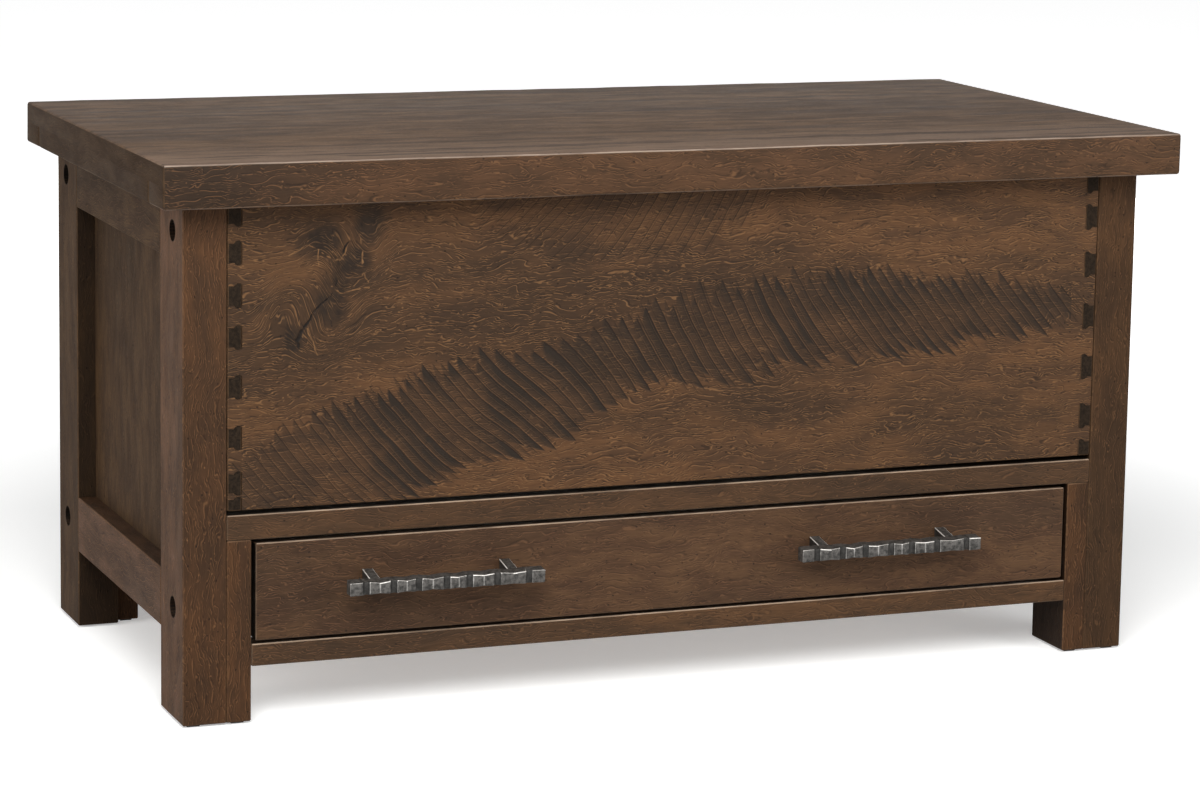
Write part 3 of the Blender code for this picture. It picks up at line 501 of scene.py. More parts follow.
# Knots: x, z and reach; and the smoky ovals round them: x, z, half a width and half a height
KNOTS = ((-0.394, 0.522, 0.028), (-0.432, 0.452, 0.032))
SMOKY_SPOTS = (
    (-0.425, 0.534, 0.032, 0.024), (-0.368, 0.552, 0.022, 0.034), (-0.412, 0.464, 0.026, 0.038),
    (-0.385, 0.505, 0.024, 0.026), (-0.452, 0.425, 0.018, 0.024), (-0.400, 0.490, 0.016, 0.030),
)
SMOKY_STREAK = (
    (-0.52, 0.465), (-0.411, 0.473), (-0.308, 0.491), (-0.19, 0.497), (-0.07, 0.500), (0.05, 0.502),
)
# Cracks at the knots: x and z of both ends in metres, and width in millimetres
CRACKS = (
    (-0.380, 0.537, -0.391, 0.527, 1.3), (-0.391, 0.527, -0.398, 0.517, 1.8),
    (-0.435, 0.445, -0.444, 0.433, 2.2), (-0.404, 0.486, -0.412, 0.470, 1.0),
    (-0.412, 0.470, -0.426, 0.458, 1.3), (-0.426, 0.458, -0.435, 0.445, 1.8),
    (-0.444, 0.433, -0.450, 0.423, 3.2), (-0.450, 0.423, -0.448, 0.415, 1.8),
)
# Chains of raised fibres at the knots
RIDGE_LINES = (
    ((-0.459, 0.517), (-0.438, 0.526), (-0.426, 0.522), (-0.424, 0.505)),
    ((-0.420, 0.517), (-0.409, 0.508), (-0.400, 0.509), (-0.390, 0.527)),
    ((-0.380, 0.537), (-0.376, 0.522), (-0.375, 0.501), (-0.370, 0.483)),
    ((-0.411, 0.480), (-0.402, 0.472), (-0.369, 0.478)),
    ((-0.438, 0.435), (-0.432, 0.422), (-0.426, 0.405)),
)
RIDGE_WIDTH = 1.3
RIDGES = [(*start, *end, RIDGE_WIDTH) for line in RIDGE_LINES for start, end in zip(line, line[1:])]
STAIN_IN_STROKES, STAIN_AT_KNOTS, STAIN_IN_CRACKS = linear("#271f18"), linear("#211913"), linear("#17110d")


def curve_over_x(tree, x_share, points, low=FACE_LOW_Z, high=FACE_HIGH_Z):
    """A value that changes along the board as a smooth curve through the points."""
    curve = add(tree, "FloatCurve", (1.0, x_share)).node
    handles = curve.mapping.curves[0].points
    width = FACE_HIGH_X - FACE_LOW_X
    shares = [((x - FACE_LOW_X) / width, (value - low) / (high - low)) for x, value in points]
    handles[0].location = shares[0]
    handles[1].location = shares[-1]
    for share in shares[1:-1]:
        handles.new(*share)
    curve.mapping.update()
    return add(tree, "MapRange", (curve.outputs[0], 0.0, 1.0, low, high), clamp=False)


def face_place(tree, place):
    """The place's x, z and the share of the way along the front board."""
    parts = add(tree, "SeparateXYZ", (place,)).node.outputs
    share = add(tree, "MapRange", (parts["X"], FACE_LOW_X, FACE_HIGH_X))
    return parts["X"], parts["Z"], share


def spot(tree, x, z, centre_x, centre_z, half_width, half_height):
    """How far into a soft oval a place is: 1 at its centre and 0 outside it."""
    across = add(tree, "Math DIVIDE", (add(tree, "Math SUBTRACT", (x, centre_x)), half_width))
    up = add(tree, "Math DIVIDE", (add(tree, "Math SUBTRACT", (z, centre_z)), half_height))
    flat = add(tree, "CombineXYZ", (across, up, 0.0))
    far = add(tree, "VectorMath LENGTH", (flat,))
    return add(tree, "MapRange SMOOTHSTEP", (far.node.outputs["Value"], 1.0, 0.2))


def segment_distance(tree, flat, start, end):
    """How far a place is from a short straight line on the board's face."""
    reach = (end[0] - start[0], end[1] - start[1], 0.0)
    offset = add(tree, "VectorMath SUBTRACT", (flat, (*start, 0.0)))
    along = add(tree, "VectorMath DOT_PRODUCT", (offset, reach)).node.outputs["Value"]
    squared = reach[0] ** 2 + reach[1] ** 2
    # Kept between 0 and 1 by two nodes, because a node's own clamp would hold every line's values at once
    share = add(tree, "Math DIVIDE", (along, squared))
    share = add(tree, "Math MINIMUM", (add(tree, "Math MAXIMUM", (share, 0.0)), 1.0))
    nearest = add(tree, "VectorMath SCALE", {"Vector": reach, "Scale": share})
    return add(tree, "VectorMath DISTANCE", (offset, nearest)).node.outputs["Value"]


def bend_round_knots(tree, place, bent):
    """Grain that parts and flows round the knots."""
    x, z, _ = face_place(tree, place)
    for centre_x, centre_z, reach in KNOTS:
        inside = spot(tree, x, z, centre_x, centre_z, reach * 2.2, reach * 2.2)
        away = add(tree, "Math SUBTRACT", (z, centre_z))
        shove = add(tree, "Math MULTIPLY", (add(tree, "Math MULTIPLY", (away, inside)), -0.6))
        turn = add(tree, "Math MULTIPLY", (add(tree, "Math SUBTRACT", (x, centre_x)), inside))
        rise = add(tree, "Math MULTIPLY_ADD", (turn, 0.9, shove))
        bent = add(tree, "VectorMath ADD", (bent, add(tree, "CombineXYZ", (0.0, 0.0, rise))))
    return bent


def knot_clouds(tree, x, z, grow, edge):
    """The smoky ovals round the knots, made larger and with a ragged edge."""
    cloud = 0.0
    for centre_x, centre_z, half_width, half_height in SMOKY_SPOTS:
        oval = spot(tree, x, z, centre_x, centre_z, half_width * grow, half_height * grow)
        cloud = add(tree, "Math MAXIMUM", (oval, cloud))
    return add(tree, "Math MULTIPLY", (cloud, edge), use_clamp=True)


def front_smoke(tree, place, smoke):
    """The darker clouds round the knots, along the smoky streak and in the saw-marked bands."""
    x, z, share = face_place(tree, place)
    ragged = add(tree, "TexNoise", (place, 26.0, 3.0, 0.6))
    edge = add(tree, "MapRange", (ragged, 0.3, 0.7, 0.45, 1.3))
    smoke = add(tree, "Math MAXIMUM", (smoke, knot_clouds(tree, x, z, 1.5, edge)))
    middle = curve_over_x(tree, share, SMOKY_STREAK)
    off = add(tree, "Math ABSOLUTE", (add(tree, "Math SUBTRACT", (z, middle)),))
    streak = add(tree, "MapRange SMOOTHSTEP", (off, 0.022, 0.004))
    left_part = add(tree, "MapRange SMOOTHSTEP", (x, 0.06, -0.06))
    streak = add(tree, "Math MULTIPLY", (streak, left_part))
    streak = add(tree, "Math MULTIPLY", (streak, edge), use_clamp=True)
    streak = add(tree, "Math MULTIPLY", (streak, 0.75))
    return add(tree, "Math MAXIMUM", (smoke, streak))


def knot_stain(tree, place, colour):
    """The almost black stain that the open grain at the knots holds."""
    x, z, _ = face_place(tree, place)
    ragged = add(tree, "TexNoise", (place, 60.0, 3.0, 0.6))
    edge = add(tree, "MapRange", (ragged, 0.35, 0.65, 0.2, 1.2))
    stain = add(tree, "Math MULTIPLY", (knot_clouds(tree, x, z, 1.15, edge), 0.85))
    return add(tree, "Mix RGBA", (stain, colour, STAIN_AT_KNOTS))


def saw_band(tree, place, band):
    """One band of arched saw strokes: how deep each place is in one, and their edges and raised lips."""
    x, z, share = face_place(tree, place)
    rise = add(tree, "Math SUBTRACT", (z, curve_over_x(tree, share, band["middle"])))
    lean = curve_over_x(tree, share, band["lean"], -1.4, 1.4)
    squared = add(tree, "Math MULTIPLY", (rise, rise))
    arc = add(tree, "Math MULTIPLY_ADD", (lean, rise, x))
    arc = add(tree, "Math MULTIPLY_ADD", (squared, band["curl"], arc))
    wobble = add(tree, "TexNoise", (place, 16.0, 2.0, 0.5))
    arc = add(tree, "Math MULTIPLY_ADD", (wobble, STROKE_WOBBLE, arc))
    found = {}
    for spacing, seed, strength in STROKE_SETS:
        phase = add(tree, "Math DIVIDE", (arc, spacing))
        number = add(tree, "Math FLOOR", (phase,))
        number = add(tree, "Math ADD", (number, seed))
        chance = add(tree, "TexWhiteNoise", (number,), noise_dimensions="1D")
        chances = add(tree, "SeparateColor", (chance.node.outputs["Color"],)).node.outputs
        within = add(tree, "Math FRACT", (phase,))
        before_edge = add(tree, "Math SUBTRACT", (1.0, within))
        steepness = add(tree, "MapRange", (chances["Red"], 0.0, 1.0, 0.5, 1.3), clamp=False)
        deep = add(tree, "Math POWER", (within, steepness))
        edge = add(tree, "MapRange SMOOTHSTEP", (before_edge, 0.18, 0.03))
        lip = add(tree, "MapRange SMOOTHSTEP", (within, 0.12, 0.02))
        # A stroke is pointed at both ends, with its points at the crisp edge
        ends = (-STROKE_STAGGER, STROKE_STAGGER)
        stagger = add(tree, "MapRange", (chances["Green"], 0.0, 1.0, *ends), clamp=False)
        strong = add(tree, "MapRange", (chances["Blue"], 0.0, 1.0, 0.7 * strength, strength), clamp=False)
        taper = add(tree, "Math POWER", (before_edge, 1.5))
        top = add(tree, "Math ADD", (curve_over_x(tree, share, band["top"]), stagger))
        top = add(tree, "Math MULTIPLY_ADD", (taper, -0.022, top))
        bottom = add(tree, "Math SUBTRACT", (curve_over_x(tree, share, band["bottom"]), stagger))
        bottom = add(tree, "Math MULTIPLY_ADD", (taper, 0.014, bottom))
        below_top = add(tree, "MapRange", (add(tree, "Math SUBTRACT", (top, z)), -0.002, 0.002))
        above_bottom = add(tree, "MapRange", (add(tree, "Math SUBTRACT", (z, bottom)), -0.002, 0.002))
        mask = add(tree, "Math MULTIPLY", (below_top, above_bottom))
        mask = add(tree, "Math MULTIPLY", (mask, strong))
        for name, part in (("deep", deep), ("edge", edge), ("lip", lip), ("inside", 1.0)):
            cut = add(tree, "Math MULTIPLY", (part, mask))
            found[name] = add(tree, "Math MAXIMUM", (found[name], cut)) if name in found else cut
    found["dark"] = curve_over_x(tree, share, band["dark"], 0.0, 1.0)
    return found


def cut_marks(tree, place, wood, colour, height):
    """Saw strokes, cracks and knot ridges on the front board, in colour and in relief."""
    x, z, _ = face_place(tree, place)
    colour = knot_stain(tree, place, colour)
    pale = add(tree, "Mix RGBA", (0.5, wood.fleck, wood.warm))
    for band in SAW_BANDS:
        stroke = saw_band(tree, place, band)
        patchy = add(tree, "TexNoise", (place, 14.0, 3.0, 0.6))
        patch = add(tree, "MapRange SMOOTHSTEP", (patchy, 0.36, 0.58, 0.6, 1.0))
        cloud = add(tree, "Math MULTIPLY", (stroke["inside"], 0.55))
        cloud = add(tree, "Math MULTIPLY_ADD", (stroke["deep"], 0.95, cloud))
        cloud = add(tree, "Math MULTIPLY", (cloud, stroke["dark"]))
        cloud = add(tree, "Math MULTIPLY", (cloud, patch), use_clamp=True)
        colour = add(tree, "Mix RGBA", (cloud, colour, STAIN_IN_STROKES))
        edge_dark = add(tree, "MapRange", (stroke["dark"], 0.0, 1.0, 0.65, 0.95))
        edge_dark = add(tree, "Math MULTIPLY", (stroke["edge"], edge_dark))
        colour = add(tree, "Mix RGBA", (edge_dark, colour, wood.groove))
        lip_light = add(tree, "Math MULTIPLY", (stroke["lip"], 0.4))
        colour = add(tree, "Mix RGBA", (lip_light, colour, pale))
        height = add(tree, "Math MULTIPLY_ADD", (stroke["deep"], -0.7 * band["depth"], height))
        height = add(tree, "Math MULTIPLY_ADD", (stroke["lip"], 0.25 * band["depth"], height))
    flat = add(tree, "CombineXYZ", (x, z, 0.0))
    wander = add(tree, "TexNoise", (place, 70.0, 2.0, 0.5)).node.outputs["Color"]
    wander = add(tree, "VectorMath SUBTRACT", (wander, (0.5, 0.5, 0.5)))
    wander = add(tree, "VectorMath SCALE", {"Vector": wander, "Scale": 0.008})
    flat = add(tree, "VectorMath ADD", (flat, wander))
    fade = add(tree, "MapRange", (add(tree, "TexNoise", (place, 120.0, 2.0, 0.5)), 0.38, 0.6, 0.45, 0.9))
    for lines, looks, depth in ((RIDGES, wood.fleck, 0.35), (CRACKS, STAIN_IN_CRACKS, -1.4)):
        cut = 0.0
        for x0, z0, x1, z1, width in lines:
            far = segment_distance(tree, flat, (x0, z0), (x1, z1))
            near = add(tree, "MapRange SMOOTHSTEP", (far, width * MM, width * 0.3 * MM))
            cut = add(tree, "Math MAXIMUM", (near, cut))
        amount = add(tree, "Math MULTIPLY", (cut, fade if depth > 0.0 else 1.0))
        colour = add(tree, "Mix RGBA", (amount, colour, looks))
        height = add(tree, "Math MULTIPLY_ADD", (cut, depth, height))
    return colour, height


FRONT_MARKS = {"bend": bend_round_knots, "smoke": front_smoke, "cut": cut_marks}


def plain_wood(name, pale, deep, grain):
    """Planed, unstained inner wood under a thin clear coat: straight soft grain lines."""
    material, tree = new_material(name)
    _, bent = board_place(tree, (0.0, 0.0, 0.0), 0.012)
    lines = add(tree, "TexNoise", (stretched(tree, bent, grain, 2.2, 170.0), 1.0, 3.0, 0.6))
    fibre = add(tree, "TexNoise", (stretched(tree, bent, grain, 30.0, 900.0), 1.0, 1.0, 0.5))
    shade = add(tree, "MapRange SMOOTHSTEP", (lines, 0.38, 0.66))
    colour = add(tree, "Mix RGBA", (shade, (*pale, 1.0), (*deep, 1.0)))
    fine = add(tree, "MapRange", (fibre, 0.3, 0.7, 0.93, 1.05))
    colour = add(tree, "VectorMath SCALE", {"Vector": colour, "Scale": fine})
    bump = add(tree, "Bump", {"Strength": 0.5, "Distance": 0.15 * MM, "Height": lines})
    looks = {"Base Color": colour, "Roughness": 0.5, "Normal": bump}
    finish_material(tree, add(tree, "BsdfPrincipled", looks))
    return material


# Metal and pads


def forged_steel(name, base, worn, shine=0.5):
    """Hammered mild steel, blackened and waxed: its oxide skin is dull grey, and brighter where worn; its
    brighter copies are also used as painted highlights.
    """
    material, tree = new_material(name)
    place = add(tree, "TexCoord").node.outputs["Object"]
    dents = add(tree, "TexNoise", (place, 240.0, 3.0, 0.6))
    scale = add(tree, "TexNoise", (place, 900.0, 2.0, 0.6))
    shade = add(tree, "MapRange SMOOTHSTEP", (dents, 0.3, 0.7))
    colour = add(tree, "Mix RGBA", (shade, linear(base), linear(worn)))
    height = add(tree, "Math MULTIPLY_ADD", (scale, 0.25, dents))
    bump = add(tree, "Bump", {"Strength": 0.7, "Distance": 0.5 * MM, "Height": height})
    rough = add(tree, "MapRange", (scale, 0.3, 0.7, 0.42, 0.58))
    looks = {
        "Base Color": colour, "Metallic": 0.45, "Roughness": rough, "Normal": bump,
        "Specular IOR Level": shine,
    }
    finish_material(tree, add(tree, "BsdfPrincipled", looks))
    return material


def rolled_steel(name, hex_colour, roughness):
    """Rolled and plated sheet steel: even, with fine lines along its length."""
    material, tree = new_material(name)
    place = add(tree, "TexCoord").node.outputs["Object"]
    lines = add(tree, "TexNoise", (stretched(tree, place, "Y", 20.0, 1500.0), 1.0, 2.0, 0.5))
    rough = add(tree, "MapRange", (lines, 0.3, 0.7, roughness - 0.06, roughness + 0.08))
    shade = add(tree, "MapRange", (lines, 0.3, 0.7, 0.92, 1.05))
    colour = add(tree, "VectorMath SCALE", {"Vector": linear(hex_colour)[:3], "Scale": shade})
    looks = {"Base Color": colour, "Metallic": 1.0, "Roughness": rough}
    finish_material(tree, add(tree, "BsdfPrincipled", looks))
    return material


def moulded_pad(name):
    """Moulded black nylon pad with a faint grain from its mould."""
    material, tree = new_material(name)
    place = add(tree, "TexCoord").node.outputs["Object"]
    grain = add(tree, "TexNoise", (place, 1400.0, 2.0, 0.5))
    bump = add(tree, "Bump", {"Strength": 0.3, "Distance": 0.1 * MM, "Height": grain})
    shade = add(tree, "MapRange", (grain, 0.3, 0.7))
    colour = add(tree, "Mix RGBA", (shade, linear("#161514"), linear("#211f1d")))
    looks = {"Base Color": colour, "Roughness": 0.6, "Normal": bump}
    finish_material(tree, add(tree, "BsdfPrincipled", looks))
    return material


# Sizes and colours that a user may change


def colour_property(name, description, colour):
    """A colour that the user may change."""
    return bpy.props.FloatVectorProperty(
        name=name, description=description, subtype="COLOR", size=3, min=0.0, max=1.0, default=colour[:3]
    )


def number_property(name, description, default, low=0.0, high=None, **kind):
    """A number that the user may change, with a subtype or a unit where one fits."""
    if high is not None:
        kind["max"] = high
    return bpy.props.FloatProperty(name=name, description=description, default=default, min=low, **kind)


LENGTH = {"subtype": "DISTANCE", "unit": "LENGTH"}
POWER = {"subtype": "POWER", "unit": "POWER"}


class ChestStainSettings(bpy.types.PropertyGroup):
    """The stain on each group of boards; each board's warm, smoky and fleck colours follow it."""

    front_board: colour_property("Front board", "Stain on the rough-sawn front board", FRONT_WOOD.body)
    drawer_front: colour_property("Drawer front", "Stain on the drawer's front", DRAWER_WOOD.body)
    posts: colour_property("Posts", "Stain on the front left post and the leg blocks", POST_WOOD.body)
    dark_post: colour_property("Right post", "Stain on the darker front right post", DARK_POST_WOOD.body)
    rails: colour_property("Rails", "Stain on the rails above and below the drawer", RAIL_WOOD.body)
    ends: colour_property(
        "Ends and back", "Stain on the end panels, their rails and the back", SIDE_WOOD.body
    )
    lid_top: colour_property("Lid top", "Stain on the lid's top", LID_WOOD.body)
    lid_edge: colour_property("Lid edge", "Stain on the lid's front and back edges", LID_EDGE_WOOD.body)
    lid_ends: colour_property("Lid ends", "Stain on the lid's two ends", LID_END_WOOD.body)
    inner_pale: colour_property("Inner wood", "Pale wood between the grain lines inside", linear("#b08a5f"))
    inner_deep: colour_property("Inner grain", "Grain lines of the inner wood", linear("#93693f"))


class ChestStageSettings(bpy.types.PropertyGroup):
    """The pale studio round the chest."""

    floor_colour: colour_property("Floor colour", "Colour of the studio floor", (0.85, 0.862, 0.872))
    floor_lift: number_property(
        "Floor lift", "Light that the floor adds for the camera, so that it reads as white", 0.35, high=1.0
    )
    floor_lift_far: number_property(
        "Floor lift far off", "The same light, a few metres from the chest", 0.82, high=1.0
    )
    key_power: number_property("Key light", "Power of the large soft light at the upper left", 178.0, **POWER)
    fill_power: number_property("Fill light", "Power of the soft light at the right", 66.0, **POWER)
    end_power: number_property("End light", "Power of the soft light on the chest's left end", 50.0, **POWER)
    back_power: number_property(
        "Back light", "Power of the soft light on the back and the right end", 95.0, **POWER
    )
    sky: number_property("Sky", "Strength of the even light from all round", 0.11)


class ChestLidSettings(bpy.types.PropertyGroup):
    """How the lid's boards are worked."""

    round_over: number_property(
        "Round-over", "Radius of the lid's worn edges", 0.0032, 0.0005, 0.01, **LENGTH
    )
    unevenness: number_property(
        "Unevenness", "How far the hand-worked edges wander", 0.0004, 0.0, 0.002, **LENGTH
    )


class ChestPullSettings(bpy.types.PropertyGroup):
    """Sizes of the hammered bar pulls."""

    bar_depth: number_property("Bar depth", "Thickness of the bar, front to back", 0.015, 0.004, **LENGTH)
    bar_height: number_property("Bar height", "Height of the bar's front", 0.014, 0.004, **LENGTH)
    flute_width: number_property(
        "Flute width", "Width of each flute across the bar's front", 0.0078, 0.002, **LENGTH
    )
    flute_depth: number_property("Flute depth", "How deep each flute is forged", 0.0026, **LENGTH)
    pinch: number_property(
        "Pinch", "How much the bar narrows between two flutes", 0.17, 0.0, 0.5, subtype="FACTOR"
    )
    hammering: number_property("Hammering", "How far the hammer has moved each corner", 0.0004, **LENGTH)
    worn_edge: number_property("Worn edge", "Width of the rubbed bright edges", 0.0008, 0.0002, **LENGTH)
    top_fall: number_property("Top fall", "How far the bar's top falls towards its front", 0.0019, **LENGTH)
    facet_slope: number_property(
        "Facet slope", "How far the facets fall back from a pinch to the flutes", 0.0008, **LENGTH
    )
    post_width: number_property("Post width", "Thickness of the two square posts", 0.012, 0.004, **LENGTH)
    post_spread: number_property("Post spread", "Distance between the posts' middles", 0.160, 0.05, **LENGTH)


# The places of the finishes among a lid board's materials and among a pull's
LID_TOP, LID_END = 1, 2
# A pull's plain steel, its bright finish for worn edges that also stand as painted highlights, its fire
# scale, and a softer painted highlight
STEEL, WORN_HIGHLIGHT, SCALED, SOFT_HIGHLIGHT = range(4)
# Shares of the bar's length at which its seven flutes are forged
FLUTE_SHARES = (0.082, 0.223, 0.350, 0.493, 0.610, 0.754, 0.920)
# Shares of half a flute's width at which its round hollow is cut
FLUTE_PROFILE_SHARES = (-1.0, -0.92, -0.7, -0.35, 0.0, 0.35, 0.7, 0.92, 1.0)


# Pieces that replace CAD nodes


class CHEST_OT_case_woods(bpy.types.Operator):
    """Stain the case, the drawer and the dovetailed box"""

    bl_idname = "chest.case_woods"
    bl_label = "Case woods"

    def execute(self, context):
        stain = context.scene.chest_stain
        front_wood = FRONT_WOOD.stained(stain.front_board)
        post_wood = POST_WOOD.stained(stain.posts)
        right_post_wood = DARK_POST_WOOD.stained(stain.dark_post)
        rail_wood = RAIL_WOOD.stained(stain.rails)
        side_wood = SIDE_WOOD.stained(stain.ends)
        drawer_wood = DRAWER_WOOD.stained(stain.drawer_front)
        name = "Rough-sawn maple, walnut stain, front board"
        dress(stained_wood(name, front_wood, "X", marks=FRONT_MARKS), "box_front")
        for number, corner in enumerate(CORNERS):
            shift = (3.1 + 1.7 * number, 2.3 * number, 0.9 * number)
            pegs = [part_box(f"peg_{level}_{corner}") for level in ("top", "bottom")]
            holes = [((low.y + high.y) / 2, (low.z + high.z) / 2, (high.z - low.z) / 2) for low, high in pegs]
            # Painted shade on the back posts' forward faces, which sit in the recess beside the end panel
            inner = [(FORWARDS, 0.5)] if corner.startswith("back") else []
            wood = {"front_left": post_wood, "front_right": right_post_wood}.get(corner, side_wood)
            name = f"Maple, walnut stain, post {number + 1}"
            dress(stained_wood(name, wood, "Z", shift, shaded=inner, holes=holes), f"post_{corner}")
        # Each board's look, grain, part of the log, faces darkened with painted shade, and nodes
        boards = (
            ("leg blocks", post_wood, "Z", (11.3, 4.1, 7.7), [(LEFTWARDS, 0.72), (RIGHTWARDS, 0.72)],
             [f"leg_block_{corner}" for corner in CORNERS]),
            ("rails", rail_wood, "X", (1.9, 5.3, 2.2), [(UPWARDS, 0.85)],
             [f"{end}_{level}_rail" for end in ("front", "back") for level in ("middle", "lower")]),
            ("side rails", side_wood, "Y", (6.1, 0.7, 3.9), [], [f"side_rail_top_{side}" for side in SIDES]),
            ("low side rails", post_wood, "Y", (3.3, 7.2, 0.6), [(UPWARDS, 0.55)],
             [f"side_rail_bottom_{side}" for side in SIDES]),
            ("end panels", side_wood, "Z", (2.6, 8.8, 1.1), [], [f"end_panel_{side}" for side in SIDES]),
            ("back boards", rail_wood, "X", (4.4, 3.3, 8.1), [], ["box_back", "back_lower_panel"]),
            ("drawer front", drawer_wood, "X", (7.7, 1.2, 4.6),
             [(LEFTWARDS, 0.85), (RIGHTWARDS, 0.85), (UPWARDS, 0.6)], ["drawer_front"]),
            ("pegs", SHADED_PEG_WOOD, "X", (1.3, 1.9, 7.4), [],
             [f"peg_{level}_{corner}" for level in ("top", "bottom") for corner in CORNERS]),
        )
        for name, wood, grain, shift, shaded, nodes in boards:
            dress(stained_wood(f"Maple, walnut stain, {name}", wood, grain, shift, shaded=shaded), *nodes)
        pins = stained_wood("Maple, walnut stain, box sides", side_wood, "Y", (8.3, 4.9, 1.6), cut_ends=True)
        dress(pins, "box_side_left", "box_side_right")
        inner = plain_wood("Planed soft maple, clear coat", stain.inner_pale, stain.inner_deep, "Y")
        lengthwise = [f"{part}_{side}" for part in ("drawer_side", "slide_cleat") for side in SIDES]
        dress(inner, "drawer_bottom", *lengthwise)
        name = "Planed soft maple, clear coat, cross boards"
        cross = plain_wood(name, stain.inner_pale, stain.inner_deep, "X")
        dress(cross, "drawer_inner_front", "drawer_back", "box_floor")
        return {"FINISHED"}


def board(name, low, high, along, cuts, uneven, seed, seam=None):
    """A solid board between two corners, cut across its length and slightly uneven, as hand-worked wood is.

    seam is the height of a glued face, which stays straight.
    """

    def moved(corner, amount):
        return [value + amount * (axis != 2 or value != seam) for axis, value in enumerate(corner)]

    deselect()
    low, high = moved(low, uneven), moved(high, -uneven)
    centre = [(a + b) / 2 for a, b in zip(low, high)]
    size = [b - a for a, b in zip(low, high)]
    bpy.ops.mesh.primitive_cube_add(size=1.0, location=centre, scale=size)
    piece = bpy.context.object
    piece.name = name
    settle(piece)
    bpy.ops.object.mode_set(mode="EDIT")
    axis = GRAIN_AXES.index(along)
    pick(piece, edges=lambda start, end: abs(start[axis] - end[axis]) > 0.5 * size[axis])
    if cuts:
        bpy.ops.mesh.subdivide(number_cuts=cuts)
    if uneven:
        pick(piece, points=lambda place: seam is None or abs(place.z - seam) > 2 * uneven)
        bpy.ops.transform.vertex_random(offset=uneven, uniform=0.0, normal=0.0, seed=seed)
    bpy.ops.object.mode_set(mode="OBJECT")
    return piece


def round_edges(piece, radius, segments, sharp=40.0, where=None):
    """Rounds the piece's sharp edges over in edit mode, or only those for which the test holds."""
    take(piece)
    bpy.ops.object.mode_set(mode="EDIT")
    bpy.ops.mesh.select_mode(type="EDGE")
    bpy.ops.mesh.select_all(action="DESELECT")
    bpy.ops.mesh.edges_select_sharp(sharpness=math.radians(sharp))
    if where:
        bpy.ops.object.mode_set(mode="OBJECT")
        for face in piece.data.polygons:
            face.select = False
        points = piece.data.vertices
        for edge in piece.data.edges:
            edge.select = edge.select and where(*(points[i].co for i in edge.vertices))
        bpy.ops.object.mode_set(mode="EDIT")
    bpy.ops.mesh.bevel(offset=radius, segments=segments, profile=0.5, affect="EDGES")
    bpy.ops.object.mode_set(mode="OBJECT")


def place_piece(piece, body, slot, materials, *replaced):
    """Finishes a new piece: smooth by angle, its materials, body and the nodes it stands for. slot is not
    used.
    """
    take(piece)
    bpy.ops.object.shade_smooth_by_angle(angle=math.radians(50.0))
    for material in materials:
        if material.name not in piece.data.materials:
            piece.data.materials.append(material)
    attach(piece, body)
    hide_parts(*replaced)


class CHEST_OT_lid_boards(bpy.types.Operator):
    """Make the lid's top board and the four strips under its edges, with rounded and slightly uneven edges"""

    bl_idname = "chest.lid_boards"
    bl_label = "Lid boards"

    def execute(self, context):
        values = context.scene.chest_lid
        stain = context.scene.chest_stain
        top = stained_wood("Maple, walnut stain, lid", LID_WOOD.stained(stain.lid_top), "X", (9.3, 2.9, 5.5))
        edge_wood = LID_EDGE_WOOD.stained(stain.lid_edge)
        edge = stained_wood("Maple, walnut stain, lid edge", edge_wood, "X", (3.7, 6.1, 2.9))
        end_wood = LID_END_WOOD.stained(stain.lid_ends)
        ends = stained_wood("Maple, walnut stain, lid ends", end_wood, "Y", (5.9, 6.6, 0.4))
        layout = (
            ("lid_panel", "X", 36, 11, (edge, top, ends)),
            ("lid_strip_front", "X", 36, 12, (edge, top, ends)),
            ("lid_strip_back", "X", 36, 13, (edge, top, ends)),
            ("lid_strip_left", "Y", 14, 14, (ends,)),
            ("lid_strip_right", "Y", 14, 15, (ends,)),
        )
        for node_name, along, cuts, seed, materials in layout:
            low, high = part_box(node_name)
            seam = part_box("lid_panel")[0].z
            if node_name != "lid_panel":
                high.z = seam
            piece = board("worked_" + node_name, low, high, along, cuts, values.unevenness, seed, seam)
            clear = values.round_over * 0.5

            def outer(start, end, seam=seam, clear=clear):
                return abs(start.z - seam) > clear or abs(end.z - seam) > clear

            round_edges(piece, values.round_over, 3, where=outer)
            place_piece(piece, "lid", "stained_lid", materials, node_name)
            if along == "X":
                for face in piece.data.polygons:
                    if abs(face.normal.z) > 0.7:
                        face.material_index = LID_TOP
                    elif abs(face.normal.x) > 0.7:
                        face.material_index = LID_END
        return {"FINISHED"}


def flute_places(low, high):
    """Where the flutes are forged along a bar."""
    return [low.x + share * (high.x - low.x) for share in FLUTE_SHARES]


